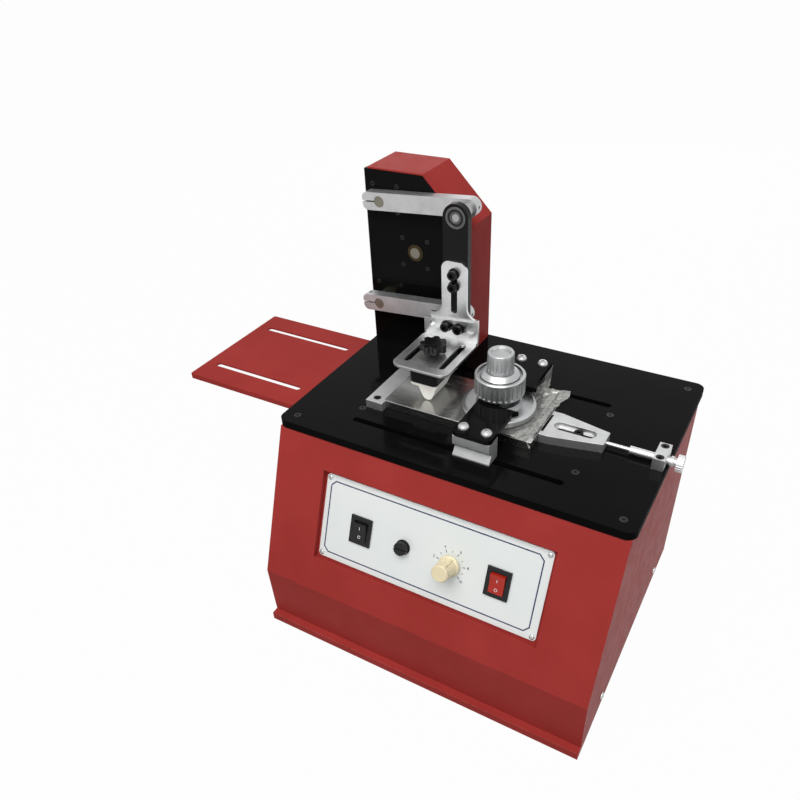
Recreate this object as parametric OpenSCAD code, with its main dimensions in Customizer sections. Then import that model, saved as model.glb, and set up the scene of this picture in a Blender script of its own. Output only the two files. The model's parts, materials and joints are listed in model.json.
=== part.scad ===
// Desktop pad printing machine with a closed ink cup and a parallel-arm swing head.
// X runs along the table to the right, Y to the rear, Z up.
// The origin is on the bench, midway between the feet.

/* [Table] */
// Width of the table plate
table_w = 380; // [360:1:420]
// Depth of the table plate
table_d = 260; // [255:1:290]
// Thickness of the table plate
table_t = 9; // [7:0.5:12]
// Height of the table's top above the bench
table_top = 253; // [240:1:300]
// Corner radius of the table plate
table_corner_r = 10; // [4:0.5:20]
// Width of the two long slots
slot_w = 7; // [6.4:0.1:9]
// Length of the two long slots
slot_l = 230; // [215:1:236]
// Distance between the two slots
slot_pitch = 140; // [136:1:146]
// Centre line of the plate, cup and clamp, measured from the table's middle
track_y = -24; // [-28:1:-20]

/* [Body] */
// Width of the sheet-metal body
body_w = 375; // [350:1:378]
// How far the console bend stands in front of the table
slope_out = 63; // [50:1:75]
// Drop from the table's top to the console bend
bend_drop = 170; // [165:1:185]
// How far the lower front draws in towards the base
front_tuck = 2; // [0:0.5:8]
// Thickness of the body's sheet
sheet = 1.6; // [1:0.1:2.5]
// Width of the flange that the table is screwed to
top_flange = 24; // [20:1:30]
// Height of the base pan
base_h = 10; // [8:0.5:16]
// How far the base pan stands out in front
base_lip = 8; // [4:0.5:14]
// Height of the feet under the base pan
foot_h = 6; // [4:0.5:14]
// Radius of a foot
foot_r = 13; // [8:0.5:18]

/* [Control panel] */
// Width of the panel plate
panel_w = 250; // [240:1:256]
// Height of the panel plate along the slope
panel_h = 95; // [90:1:98]
// Thickness of the panel plate
panel_t = 1.5; // [1:0.1:2]
// Depth of the pocket that the panel lies in
pocket_depth = 6.5; // [4:0.5:10]
// Gap between the panel and the pocket's wall
pocket_gap = 3; // [2:0.5:6]
// Corner radius of the panel plate
panel_corner_r = 4; // [1:0.5:6]
// Distance from the slope's top edge to the panel's centre
panel_drop = 83; // [76:1:90]
// Width of a rocker switch
switch_w = 25; // [22:0.5:28]
// Height of a rocker switch
switch_h = 31; // [28:0.5:34]
// Tilt of a rocker to each side
rocker_tilt = 7; // [4:0.5:10]
// Diameter of the speed knob
speed_knob_d = 19; // [15:0.5:24]
// Height of the speed knob
speed_knob_h = 22; // [16:0.5:26]
// Radius of the fuse cap
fuse_r = 7; // [5.5:0.5:9]

/* [Tower] */
// Width of the tower
tower_w = 119.5; // [118:0.5:124]
// Height of the tower
tower_h = 204; // [202:1:215]
// Gap between the tower and the table's left edge
tower_inset = 4; // [2:0.5:8]
// Distance from the table's front edge to the tower's front
tower_from_front = 197.5; // [194:0.5:200]
// Thickness of the tower's front plate
plate_t = 6; // [4:0.5:8]
// How far the front plate stands out beyond the cover's left side
plate_over = 4; // [2:0.5:4]
// Length of the level top before the slanted corner
tower_flat = 68; // [60:1:70]
// Drop of the slanted corner
tower_slant = 52; // [40:1:54]

/* [Swing arms] */
// Distance from the tower's left side to the arm shafts
shaft_in = 20.5; // [20:0.5:24]
// Height of the lower arm shaft above the table
shaft_low = 60.5; // [58:0.5:66]
// Arm length from shaft to link pivot
arm_l = 106; // [100:1:112]
// Height of an arm
arm_h = 19; // [17:0.5:22]
// Thickness of an arm
arm_t = 12; // [9:0.5:12]
// Length of an arm's split tail behind the shaft
arm_tail = 21; // [18:0.5:26]
// Upward tilt of the arms at rest
arm_tilt = 4.2; // [2:0.1:8]
// Radius of the arm shafts
shaft_r = 6; // [5:0.5:7]
// Running gap between arms, link and plate
arm_gap = 1; // [0.6:0.1:1.2]

/* [Gears] */
// Module of the tower gears
gear_m = 2.5; // [2.5:0.5:2.5]
// Teeth on an arm pinion
pinion_z = 13; // [12:1:13]
// Teeth on the sync gear
sync_z = 40; // [38:1:41]
// Thickness of a gear
gear_t = 10; // [6:0.5:12]
// Module of the rack drive
rack_m = 2; // [2:0.5:2]
// Teeth on the rack pinion
rack_z = 27; // [25:1:28]
// Travel of the ink cup
cup_travel = 81; // [70:1:84]
// Play between meshing teeth
backlash = 0.4; // [0.3:0.05:0.6]

/* [Pad head] */
// Half width and end radius of the link bar
link_r = 14; // [13.5:0.5:16]
// Thickness of the link bar
link_t = 8; // [8:0.5:10]
// Gap between the link bar and the lower arm
link_gap = 7.5; // [5:0.5:10]
// Outer radius of a link bearing
bearing_r = 11; // [9:0.5:11]
// Width of a link bearing
bearing_w = 7; // [5:0.5:7]
// Radius of a pivot pin
pin_r = 4; // [3:0.5:5]
// Thickness of the bracket plates
bracket_t = 3; // [2:0.5:4]
// Width of the pad bracket
bracket_w = 64; // [60:1:68]
// Sideways place of the pad bracket on its slot
bracket_off = -2.6; // [-4:0.1:0]
// Depth of the pad bracket's shelf
bracket_d = 76.5; // [70:0.5:80]
// Height of the pad bracket's top above the table
shelf_z = 51.5; // [48:0.5:56]
// Width of the height bracket's stem
stem_w = 29; // [26:0.5:32]
// Width of the bracket slots
bracket_slot_w = 7.2; // [6.4:0.1:8]
// Width of the pad board
board_w = 32; // [29:0.5:36]
// Length of the pad board
board_l = 53; // [46:1:56]
// Thickness of the pad board
board_t = 19.5; // [14:0.5:21]
// Gap between the pad's ridge and the ink plate
pad_gap = 1; // [0.6:0.1:4]
// Length of the pad's ridge
ridge_l = 33; // [26:1:46]

/* [Ink plate and clamp] */
// Length of the ink plate
ink_l = 166; // [160:1:170]
// Width of the ink plate
ink_w = 78; // [76:1:86]
// Thickness of the ink plate
ink_t = 10; // [8:0.5:12]
// Left end of the ink plate
ink_x0 = -99; // [-104:1:-96]
// Thickness of the wedge clamp
wedge_t = 10; // [8:0.5:12]
// Radius of the adjusting rod
rod_r = 1.9; // [1.5:0.1:2.5]
// Radius of the rod's thick part
rod_thick_r = 3.9; // [3.5:0.1:4.4]
// Radius of the rod's end knob
rod_knob_r = 8.5; // [7:0.5:10]

/* [Ink cup] */
// Position of the cup along the table
cup_x = 15.5; // [12:0.5:18]
// Radius of the cup's flange
cup_r = 38; // [36:0.5:38]
// Height of the cup's flange
cup_h = 10; // [8:0.5:12]
// Wall of the cup
cup_wall = 5; // [4:0.5:8]
// Radius of the fluted clamp ring
ring_r = 25.5; // [24:0.5:30]
// Height of the fluted clamp ring
ring_h = 23; // [18:1:26]
// Radius of the fluted top knob
top_knob_r = 14; // [12:0.5:18]
// Height of the fluted top knob
top_knob_h = 20; // [16:1:26]
// Number of flutes on the clamp ring
ring_flutes = 28; // [20:1:36]
// Number of flutes on the top knob
knob_flutes = 18; // [12:1:24]
// Thickness of the bridge plate
bridge_t = 5; // [4:0.5:6]
// Width of the bridge plate
bridge_w = 40; // [38:1:44]
// Height of the bridge plate's underside above the table
bridge_z = 25; // [24.6:0.1:28]

/* [Worktable] */
// Length of the worktable along X
work_l = 162.5; // [145:0.5:170]
// Width of the worktable along Y
work_w = 160; // [140:1:170]
// Thickness of the worktable's sheet
work_t = 2.5; // [2:0.5:4]
// Height of the worktable's turned-down rim
work_rim = 6.5; // [5:0.5:8]
// Outer radius of the worktable's bend
work_bend_r = 8; // [8:0.5:10]
// Gap between the worktable and the table's underside
work_gap = 0.5; // [0.4:0.1:6]
// Distance between the worktable's slots
work_pitch = 98; // [80:1:110]
// Length of the worktable's slots
work_slot_l = 123; // [110:1:128]
// Width of the worktable's slots
work_slot_w = 7; // [6:0.5:9]
// Height of the worktable's side flange
work_flange_h = 110; // [100:1:120]

/* [Fits] */
// Radial clearance of a running fit
run_fit = 0.05; // [0.02:0.01:0.1]
// Radial clearance of a seated fit
seat_fit = 0.02; // [0.01:0.01:0.05]
// Clearance of a sliding face
slide_gap = 0.3; // [0.2:0.05:0.5]

/* [Hidden] */
$fn = 48;
eps = 0.5;

tz = table_top;
body_top = tz - table_t;
base_top = foot_h + base_h;
table_mid = (slope_out - front_tuck + 3) / 2;
table_front = table_mid - table_d / 2;
table_rear = table_mid + table_d / 2;
line_y = table_mid + track_y;
front_y = table_front + 1;
rear_y = table_rear - 4;
bend_y = front_y - slope_out;
bend_z = tz - bend_drop;
lower_y = bend_y + front_tuck;
slope_a = atan(slope_out / (body_top - bend_z));
side_x = body_w / 2;

tower_x0 = -table_w / 2 + tower_inset;
tower_x1 = tower_x0 + tower_w;
tower_y0 = table_front + tower_from_front;
tower_y1 = table_rear - 3;
plate_back = tower_y0 + plate_t;

sync_d = gear_m * (pinion_z + sync_z) / 2;
shaft_x = tower_x0 + shaft_in;
shaft_zl = tz + shaft_low;
sync_rise = 56.3;
shaft_zu = shaft_zl + 2 * sync_rise;
sync_x = shaft_x + sqrt(sync_d * sync_d - sync_rise * sync_rise);
sync_zc = shaft_zl + sync_rise;

pivot_dx = arm_l * cos(arm_tilt);
pivot_dz = arm_l * sin(arm_tilt);
head_x = shaft_x + pivot_dx;
upper_arm_y0 = tower_y0 - arm_gap - arm_t;
lower_arm_y0 = upper_arm_y0 - arm_gap - arm_t;
link_y0 = lower_arm_y0 - link_gap - link_t;
height_y0 = link_y0 - bracket_t;
flange_y0 = height_y0 - bracket_t;
shelf_y0 = height_y0 - bracket_d;
head_mid = head_x + bracket_off;
board_y0 = shelf_y0 + 9;
board_z0 = tz + shelf_z - bracket_t - board_t;
knob_y = board_y0 + board_l / 2;
head_bolt_x = 7.4;
head_bolt_z = tz + shelf_z + 13.5;
height_bolt_z = [tz + 110.5, tz + 124];

gear_y0 = plate_back + 8;
pulley_y0 = gear_y0 + gear_t + 3;
pulley_t = 14;
pulley_r = 14;
belt_t = 2;
inner_y0 = pulley_y0 + pulley_t + 3;
inner_t = 5;
shaft_end = inner_y0 + inner_t;
bush_r = shaft_r + 3.5;

drive_x = -92;
drive_z = tz - 62;
drive_r = 5;
rack_r = rack_m * rack_z / 2;
rack_line = drive_z + rack_r;
rack_y0 = gear_y0 - 1;
rack_t = gear_t;

slot_x = -2.5;
slot_ys = [line_y - slot_pitch / 2, line_y + slot_pitch / 2];
guide_r = 5;
guide_z = tz - 23;
guide_x0 = -126;
guide_x1 = 122;
holder_t = 12;
block_h = 18;
block_w = 22;
bar_w = 24;
bar_t = 8;
bar_x0 = 14;
bar_top = guide_z - block_h / 2;
rack_x0 = drive_x - 7;
foot_d = 19;
bridge_x = cup_x + 6.5;
bolt_half = 12;

cup_z0 = tz + ink_t + slide_gap;
cup_top = cup_z0 + cup_h;
bridge_top = tz + bridge_z + bridge_t;
ring_z0 = bridge_top + slide_gap / 3;
neck_r = 11;
shoulder_r = 23;
spigot_r = 10;
stud_r = 4;
collar_z = ring_z0 + ring_h - 3;
collar_h = 7;
knob_z0 = collar_z + collar_h + slide_gap;

wedge_x0 = ink_x0 + ink_l;
wedge_l = 62;
wedge_x1 = wedge_x0 + wedge_l;
rod_z = tz + 5;
block_x0 = 176;
block_t = 11.5;
block_top_h = 12.5;
block_d = 28;
block_shift = 1;
stop_w = 18;
stop_l = 92;
stop_h = 9.5;
stop_lip = 2;
stop_hole_r = 4.2;
bearing_in = 2.4;
belt_gap = [[-155, -98], [pulley_y0 - 2, pulley_y0 + pulley_t + 2]];

red = [0.62, 0.13, 0.12];
black = [0.06, 0.06, 0.07];
silver = [0.78, 0.79, 0.8];
steel = [0.55, 0.56, 0.58];
brass = [0.72, 0.58, 0.28];

function involute(a) = tan(a) * 180 / PI - a;
function tooth_half(m, z, r, rb) = 90 / z - backlash / 2 / (m * z / 2) * 90 / PI
    + involute(20) - involute(acos(min(1, rb / r)));
function gear_outline(m, z) = let (
    rp = m * z / 2,
    rb = rp * cos(20),
    rf = rp - 1.25 * m,
    ra = rp + m,
    rs = max(rb, rf),
    radii = [rs, rp, ra],
    half = [for (r = radii) tooth_half(m, z, r, rb)]
) [for (k = [0 : z - 1]) each [
    for (p = concat([[rf, -half[0]]], [for (i = [0 : 2]) [radii[i], -half[i]]],
        [for (i = [2 : -1 : 0]) [radii[i], half[i]]], [[rf, half[0]]]))
        p[0] * [cos(360 * k / z + p[1]), sin(360 * k / z + p[1])]]];

low_phase = atan2(shaft_zl - sync_zc, shaft_x - sync_x);
up_phase = atan2(shaft_zu - sync_zc, shaft_x - sync_x);
sync_lag = up_phase - low_phase - floor((up_phase - low_phase) * sync_z / 360) * 360 / sync_z;
pinion_low_a = low_phase + 180 + 180 / pinion_z;
pinion_up_a = up_phase + 180 + 180 / pinion_z + sync_lag * sync_z / pinion_z;

// Extrudes an XZ outline along Y, from y0 to y0 + len.
module along_y(y0, len) {
    translate([0, y0 + len, 0]) rotate([90, 0, 0]) linear_extrude(len) children();
}

// Extrudes a YZ outline along X, from x0 to x0 + len.
module along_x(x0, len) {
    translate([x0, 0, 0]) rotate([90, 0, 90]) linear_extrude(len) children();
}

// Round bar along Y.
module bar_y(x, z, y0, len, r) {
    translate([x, y0 + len, z]) rotate([90, 0, 0]) cylinder(h = len, r = r);
}

// Round bar along X.
module bar_x(x0, y, z, len, r) {
    translate([x0, y, z]) rotate([0, 90, 0]) cylinder(h = len, r = r);
}

// Outline of a slot with round ends, centred, along X.
module slot_2d(l, w) {
    square([l - w, w], center = true);
    for (s = [-1, 1]) translate([s * (l - w) / 2, 0]) circle(d = w);
}

// Rectangle with rounded corners, from its lower left corner.
module round_rect(w, h, r) {
    translate([r, 0]) square([w - 2 * r, h]);
    translate([0, r]) square([w, h - 2 * r]);
    for (x = [r, w - r], y = [r, h - r]) translate([x, y]) circle(r);
}

// Puts children on the inclined front: X right, Y up the slope, Z out of the face.
module on_slope() {
    translate([0, front_y, body_top]) rotate([90 - slope_a, 0, 0]) children();
}

// Puts children on the panel plate's front face, from its centre.
module on_panel() {
    on_slope() translate([0, -panel_drop, panel_t - pocket_depth]) children();
}

// Ring of grooves cut from a round grip, each with a pointed upper end.
module flutes(n, r, groove, h) {
    for (k = [0 : n - 1]) rotate(360 * k / n) translate([r, 0, 0]) {
        cylinder(h = h, r = groove, $fn = 16);
        translate([0, 0, h]) cylinder(h = groove, r1 = groove, r2 = 0, $fn = 16);
    }
}

module gear_2d(m, z, a) {
    rotate(a) polygon(gear_outline(m, z));
}

// Base and body

feet_xy = [for (x = [-1, 1], y = [lower_y + 30, rear_y - 30]) [x * (side_x - 30), y]];
bench_bolt_r = 2.75;
pan_t = 2;
tab_h = 16;
body_screw_yz = [for (y = [lower_y + 60, rear_y - 60]) [y, base_top + tab_h / 2]];

module base_pan() {
    pan_y0 = lower_y - base_lip;
    pan_d = rear_y - pan_y0;
    color(red) {
        difference() {
            translate([-side_x, pan_y0, foot_h]) cube([body_w, pan_d, base_h]);
            translate([-side_x + pan_t, pan_y0 + pan_t, foot_h - eps])
                cube([body_w - 2 * pan_t, pan_d - 2 * pan_t, base_h - pan_t + eps]);
            for (p = feet_xy) translate([p[0], p[1], foot_h]) cylinder(h = base_h + eps, r = bench_bolt_r);
        }
        for (s = [-1, 1], p = body_screw_yz) difference() {
            translate([s * (side_x - sheet - pan_t / 2) - pan_t / 2, p[0] - 12, base_top - eps])
                cube([pan_t, 24, tab_h + eps]);
            bar_x(-side_x, p[0], p[1], body_w, 2);
        }
    }
}

module rubber_feet() {
    color(black) for (p = feet_xy) translate([p[0], p[1], 0]) rotate_extrude()
        polygon([[bench_bolt_r, 0], [foot_r - 2, 0], [foot_r, 1.5], [foot_r, base_top - pan_t],
            [bench_bolt_r, base_top - pan_t]]);
}

module shell_outline(t) {
    lean = t / cos(slope_a);
    polygon([[rear_y - t, base_top - (t > 0 ? eps : 0)], [rear_y - t, body_top - t],
        [front_y + lean - t * tan(slope_a), body_top - t], [bend_y + lean, bend_z],
        [lower_y + lean, base_top - (t > 0 ? eps : 0)]]);
}

pocket_w = panel_w + 2 * pocket_gap;
pocket_h = panel_h + 2 * pocket_gap;
ledge = 8;
rear_open = [210, 130];
rear_mid_z = (body_top + base_top) / 2;
rear_screw = [rear_open[0] / 2 + 6, rear_open[1] / 2 + 6];

module body_shell() {
    color(red) difference() {
        union() {
            difference() {
                along_x(-side_x, body_w) shell_outline(0);
                along_x(-side_x + sheet, body_w - 2 * sheet) shell_outline(sheet);
            }
            on_slope()
                translate([-pocket_w / 2 - sheet, -panel_drop - pocket_h / 2 - sheet, -pocket_depth - sheet])
                cube([pocket_w + 2 * sheet, pocket_h + 2 * sheet, pocket_depth + sheet]);
        }
        on_slope() translate([-pocket_w / 2, -panel_drop - pocket_h / 2, -pocket_depth])
            cube([pocket_w, pocket_h, pocket_depth + eps]);
        on_slope()
            translate([-panel_w / 2 + ledge, -panel_drop - panel_h / 2 + ledge, -pocket_depth - sheet - eps])
            cube([panel_w - 2 * ledge, panel_h - 2 * ledge, pocket_depth]);
        translate([-side_x + top_flange, front_y + top_flange, body_top - 2 * sheet])
            cube([body_w - 2 * top_flange, rear_y - front_y - 2 * top_flange, 3 * sheet]);
        translate([-rear_open[0] / 2, rear_y - 2 * sheet, rear_mid_z - rear_open[1] / 2])
            cube([rear_open[0], 3 * sheet, rear_open[1]]);
        for (x = [-1, 1], z = [-1, 1])
            bar_y(x * rear_screw[0], rear_mid_z + z * rear_screw[1], rear_y - 2 * sheet, 3 * sheet, 2);
        for (p = body_screw_yz) bar_x(-side_x - eps, p[0], p[1], body_w + 2 * eps, 2);
        for (p = table_screw_xy) translate([p[0], p[1], body_top - 2 * sheet])
            cylinder(h = 3 * sheet, r = 2.5);
        for (y = work_bolt_y, z = work_bolt_z) bar_x(-side_x - eps, y, z, 2 * sheet, work_bolt_r + seat_fit);
        translate([belt_gap[0][0], belt_gap[1][0], body_top - 2 * sheet])
            cube([belt_gap[0][1] - belt_gap[0][0], belt_gap[1][1] - belt_gap[1][0], 3 * sheet]);
        for (p = tower_foot_xy) translate([p[0], p[1], body_top - 2 * sheet])
            cylinder(h = 3 * sheet, r = head_r + 1.5);
        on_panel() for (p = panel_screw_xy) translate([p[0], p[1], -3 * sheet])
            cylinder(h = 4 * sheet, r = 1.5);
    }
}

inlet_x = -70;
inlet_size = [28, 20];

module rear_cover() {
    w = rear_open[0] + 22;
    h = rear_open[1] + 22;
    vent_rows = 9;
    color(red) difference() {
        translate([-w / 2, rear_y, rear_mid_z - h / 2]) cube([w, sheet, h]);
        for (x = [-1, 1], z = [-1, 1])
            bar_y(x * rear_screw[0], rear_mid_z + z * rear_screw[1], rear_y - eps, 4, 2);
        for (k = [0 : vent_rows - 1])
            translate([45, rear_y - eps, rear_mid_z + (k - (vent_rows - 1) / 2) * 10])
            rotate([-90, 0, 0]) linear_extrude(4) slot_2d(70, 4);
        translate([inlet_x - inlet_size[0] / 2, rear_y - eps, rear_mid_z - inlet_size[1] / 2])
            cube([inlet_size[0], 4, inlet_size[1]]);
    }
}

module mains_inlet() {
    fit = 0.3;
    depth = 18;
    color(black) difference() {
        union() {
            translate([inlet_x - inlet_size[0] / 2 + fit, rear_y + sheet - depth,
                rear_mid_z - inlet_size[1] / 2 + fit])
                cube([inlet_size[0] - 2 * fit, depth, inlet_size[1] - 2 * fit]);
            translate([inlet_x - 20, rear_y + sheet, rear_mid_z - 13]) cube([40, 2, 26]);
        }
        translate([inlet_x - 11.5, rear_y - 10, rear_mid_z - 7.5]) cube([23, 20, 15]);
    }
    color(steel) for (p = [[-6, -1.5], [6, -1.5], [0, 2.5]])
        translate([inlet_x + p[0] - 1, rear_y - 10, rear_mid_z + p[1] - 2]) cube([2, 9, 4]);
}

// Table

table_screw_xy = [for (x = [-1, 1], y = [table_front + 15, table_rear - 15]) [x * (table_w / 2 - 15.5), y]];
holder_screw_in = 18;
holder_shift = 3;
function holder_screw_y(y) = y + (y < line_y ? 1 : -1) * holder_screw_in + holder_shift;
holder_screw_xy = [for (x = [guide_x0 + holder_t / 2, guide_x1 - holder_t / 2], y = slot_ys)
    [x, holder_screw_y(y)]];
screw_r = 2;
stop_screw_xy = [for (s = [-1, 1]) [ink_x0 - stop_w / 2, line_y + s * (stop_l / 2 - 9)]];
block_screw_xy = [for (s = [-1, 1]) [block_x0 + block_t / 2, line_y + block_shift + s * 9.4]];
socket_h = 4;
socket_r = 3.6;
thread_l = 6;
head_r = 4;
head_t = 2.5;
foot_screw_y = [tower_y0 + plate_t / 2, inner_y0 + inner_t / 2];
tower_foot_xy = [[tower_x0 + 20, foot_screw_y[0]], [tower_x0 + 60, foot_screw_y[0]],
    [tower_x0 + 20, foot_screw_y[1]], [tower_x1 - 20, foot_screw_y[1]]];

module table_plate() {
    color(black) difference() {
        translate([-table_w / 2, table_front, tz - table_t]) linear_extrude(table_t)
            round_rect(table_w, table_d, table_corner_r);
        for (y = slot_ys) translate([slot_x, y, tz - table_t - eps]) linear_extrude(table_t + 2 * eps)
            slot_2d(slot_l, slot_w);
        for (p = concat(table_screw_xy, holder_screw_xy)) translate([p[0], p[1], tz]) {
            translate([0, 0, -table_t - eps]) cylinder(h = table_t + 2 * eps, r = screw_r + seat_fit);
            translate([0, 0, -head_t]) cylinder(h = head_t + eps, r = head_r + seat_fit);
        }
        translate([belt_gap[0][0], belt_gap[1][0], tz - table_t - eps])
            cube([belt_gap[0][1] - belt_gap[0][0], belt_gap[1][1] - belt_gap[1][0], table_t + 2 * eps]);
        for (p = tower_foot_xy) translate([p[0], p[1], tz - table_t - eps])
            cylinder(h = table_t + 2 * eps, r = screw_r + seat_fit);
        for (x = [drive_x - 16, drive_x + 16]) translate([x, motor_y1 + 9, tz - table_t - eps])
            cylinder(h = table_t - 2, r = screw_r + seat_fit);
        for (p = concat(stop_screw_xy, block_screw_xy)) translate([p[0], p[1], tz - thread_l - eps])
            cylinder(h = thread_l + 2 * eps, r = screw_r + seat_fit);
    }
}

// Socket-head screw on Z that sits at z and reaches into the table.
module socket_screw(p, z) {
    translate([p[0], p[1], 0]) difference() {
        union() {
            translate([0, 0, z]) cylinder(h = socket_h, r = socket_r);
            translate([0, 0, tz - thread_l]) cylinder(h = z - tz + thread_l, r = screw_r);
        }
        translate([0, 0, z + socket_h - 2]) cylinder(h = 3, r = 2, $fn = 6);
    }
}

module table_screws() {
    color(steel) {
        for (p = concat(table_screw_xy, holder_screw_xy)) translate([p[0], p[1], tz]) difference() {
            union() {
                translate([0, 0, -head_t]) cylinder(h = head_t - 0.2, r = head_r);
                translate([0, 0, -table_t - 5]) cylinder(h = table_t + 5 - head_t, r = screw_r);
            }
            translate([0, 0, -1.4]) cylinder(h = 2, r = 1.6, $fn = 6);
        }
        for (p = tower_foot_xy) translate([p[0], p[1], tz - table_t]) {
            translate([0, 0, -3]) cylinder(h = 3, r = head_r);
            cylinder(h = table_t + 10, r = screw_r);
        }
        for (p = stop_screw_xy) socket_screw(p, tz + stop_h - socket_h - 0.5);
        for (p = block_screw_xy) socket_screw(p, tz + block_top_h - socket_h - 0.5);
    }
}

// Control panel

panel_screw_xy = [for (x = [-1, 1], y = [-1, 1]) [x * (panel_w / 2 - 4), y * (panel_h / 2 - 4)]];
left_switch_x = -77;
right_switch_x = 78;
fuse_x = -26.5;
speed_x = 27;
control_y = -3;
switch_in = [switch_w - 3, switch_h - 3];
rim = 2;
pivot_in = -1;
rocker_pin_r = 1.5;
rocker_w = switch_w - 9.8;
rocker_hole = [switch_w - 9, switch_h - 9];

module control_panel() {
    color(silver) on_panel() difference() {
        translate([-panel_w / 2, -panel_h / 2, -panel_t]) linear_extrude(panel_t)
            round_rect(panel_w, panel_h, panel_corner_r);
        for (x = [left_switch_x, right_switch_x])
            translate([x - switch_in[0] / 2, control_y - switch_in[1] / 2, -2 * panel_t])
                cube([switch_in[0], switch_in[1], 4 * panel_t]);
        translate([fuse_x, control_y, -2 * panel_t]) cylinder(h = 4 * panel_t, r = fuse_r - 1);
        translate([speed_x, control_y, -2 * panel_t]) cylinder(h = 4 * panel_t, r = 4 + seat_fit);
        for (p = panel_screw_xy) translate([p[0], p[1], -2 * panel_t]) cylinder(h = 4 * panel_t, r = 1.5);
    }
}

// Cross-head screw on Z with its head standing on z = 0.
module cross_screw(r, len) {
    difference() {
        union() {
            rotate_extrude()
                polygon([[0, 0], [2 * r, 0], [1.8 * r, 0.7 * r], [1.1 * r, 1.1 * r], [0, 1.25 * r]]);
            translate([0, 0, -len]) cylinder(h = len, r = r);
        }
        for (a = [0, 90]) rotate(a) translate([-1.1 * r, -0.25 * r, 0.6 * r]) cube([2.2 * r, 0.5 * r, r]);
    }
}

module case_screws() {
    color(steel) {
        on_panel() for (p = panel_screw_xy) translate([p[0], p[1], 0]) cross_screw(1.4, panel_t + sheet);
        for (p = body_screw_yz, s = [-1, 1]) translate([s * side_x, p[0], p[1]]) rotate([0, s * 90, 0])
            cross_screw(1.9, sheet + pan_t + 2);
        for (x = [-1, 1], z = [-1, 1])
            translate([x * rear_screw[0], rear_y + sheet, rear_mid_z + z * rear_screw[1]])
            rotate([-90, 0, 0]) cross_screw(1.9, 2 * sheet + 3);
    }
}

// Rocker switch housing with its rim, centred on the panel's face.
module switch_housing(x) {
    fit = 0.2;
    depth = 20;
    bore_l = rocker_hole[0] + 3.6;
    on_panel() translate([x, control_y, 0]) difference() {
        union() {
            translate([-switch_w / 2, -switch_h / 2, 0]) cube([switch_w, switch_h, rim]);
            translate([-switch_in[0] / 2 + fit, -switch_in[1] / 2 + fit, -depth])
                cube([switch_in[0] - 2 * fit, switch_in[1] - 2 * fit, depth]);
        }
        translate([-rocker_hole[0] / 2, -rocker_hole[1] / 2, -10]) cube([rocker_hole[0], rocker_hole[1], 20]);
        bar_x(-bore_l / 2, 0, pivot_in, bore_l, rocker_pin_r + run_fit);
    }
}

// Rocker paddle with a shallow V face, tilted to one side, on a pin across its width.
module rocker(x) {
    half = switch_h / 2 - 5.5;
    rise = 5.4;
    pin_l = rocker_w + 3;
    on_panel() translate([x, control_y, pivot_in]) rotate([rocker_tilt, 0, 0]) {
        along_x(-rocker_w / 2, rocker_w)
            polygon([[-half, -4], [half, -4], [half, rise], [0, rise - half * tan(rocker_tilt)],
                [-half, rise]]);
        bar_x(-pin_l / 2, 0, 0, pin_l, rocker_pin_r);
    }
}

module switch_frames() {
    color(black) for (x = [left_switch_x, right_switch_x]) switch_housing(x);
}

module left_rocker() { color(black) rocker(left_switch_x); }
module right_rocker() { color([0.85, 0.2, 0.12]) rocker(right_switch_x); }

module fuse_socket() {
    color(black) on_panel() translate([fuse_x, control_y, 0]) difference() {
        union() {
            cylinder(h = 2, r = fuse_r + 1);
            translate([0, 0, -26]) cylinder(h = 26, r = fuse_r - 1.2);
        }
        translate([0, 0, -20]) cylinder(h = 30, r = fuse_r - 2.4);
    }
}

module fuse_cap() {
    grip_h = 6;
    color(black) on_panel() translate([fuse_x, control_y, 2 + slide_gap]) difference() {
        union() {
            cylinder(h = grip_h, r = fuse_r);
            translate([0, 0, -16]) cylinder(h = 16, r = fuse_r - 2.4 - run_fit);
        }
        translate([0, 0, grip_h - 3]) flutes(16, fuse_r + 0.4, 0.9, 4);
        translate([-fuse_r, -0.6, grip_h - 1.5]) cube([2 * fuse_r, 1.2, 3]);
    }
}

control_shaft_h = 18;
knob_foot = 3 + slide_gap;

module speed_control() {
    color(steel) on_panel() translate([speed_x, control_y, 0]) {
        translate([0, 0, -panel_t - 9]) cylinder(h = 9, r = 8);
        translate([0, 0, -panel_t]) cylinder(h = panel_t + 3, r = 4);
        cylinder(h = control_shaft_h, r = 3);
    }
}

module speed_knob() {
    r = speed_knob_d / 2;
    h = speed_knob_h;
    color([0.9, 0.86, 0.72]) on_panel() translate([speed_x, control_y, knob_foot]) difference() {
        union() {
            rotate_extrude() polygon([[0, 0], [r + 1.5, 0], [r + 1.5, 1.5], [r, 3], [r - 0.8, h - 1],
                [r - 1.8, h], [0, h]]);
            rotate(-20) translate([-1.5, 0, 3]) cube([3, r + 1, h - 3]);
        }
        translate([0, 0, -eps]) cylinder(h = control_shaft_h - knob_foot + slide_gap + eps, r = 3 + run_fit);
    }
}

circuit = [110, 70, 1.6];
circuit_back = 60;
circuit_at = [20, lower_y + circuit_back];
circuit_in = 6;
post_h = 8;
transformer = [36, 30, 28];

module control_board() {
    face = base_top + post_h + circuit[2];
    translate([circuit_at[0], circuit_at[1], 0]) {
        color([0.1, 0.35, 0.2]) translate([0, 0, base_top + post_h]) cube(circuit);
        color(steel) {
            for (x = [circuit_in, circuit[0] - circuit_in], y = [circuit_in, circuit[1] - circuit_in])
                translate([x, y, base_top]) cylinder(h = post_h, r = 3);
            translate([20, 12, face]) cube(transformer);
            for (k = [0 : 2]) translate([74, 16 + 18 * k, face]) cylinder(h = 22, r = 7);
        }
    }
}

// Worktable

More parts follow.
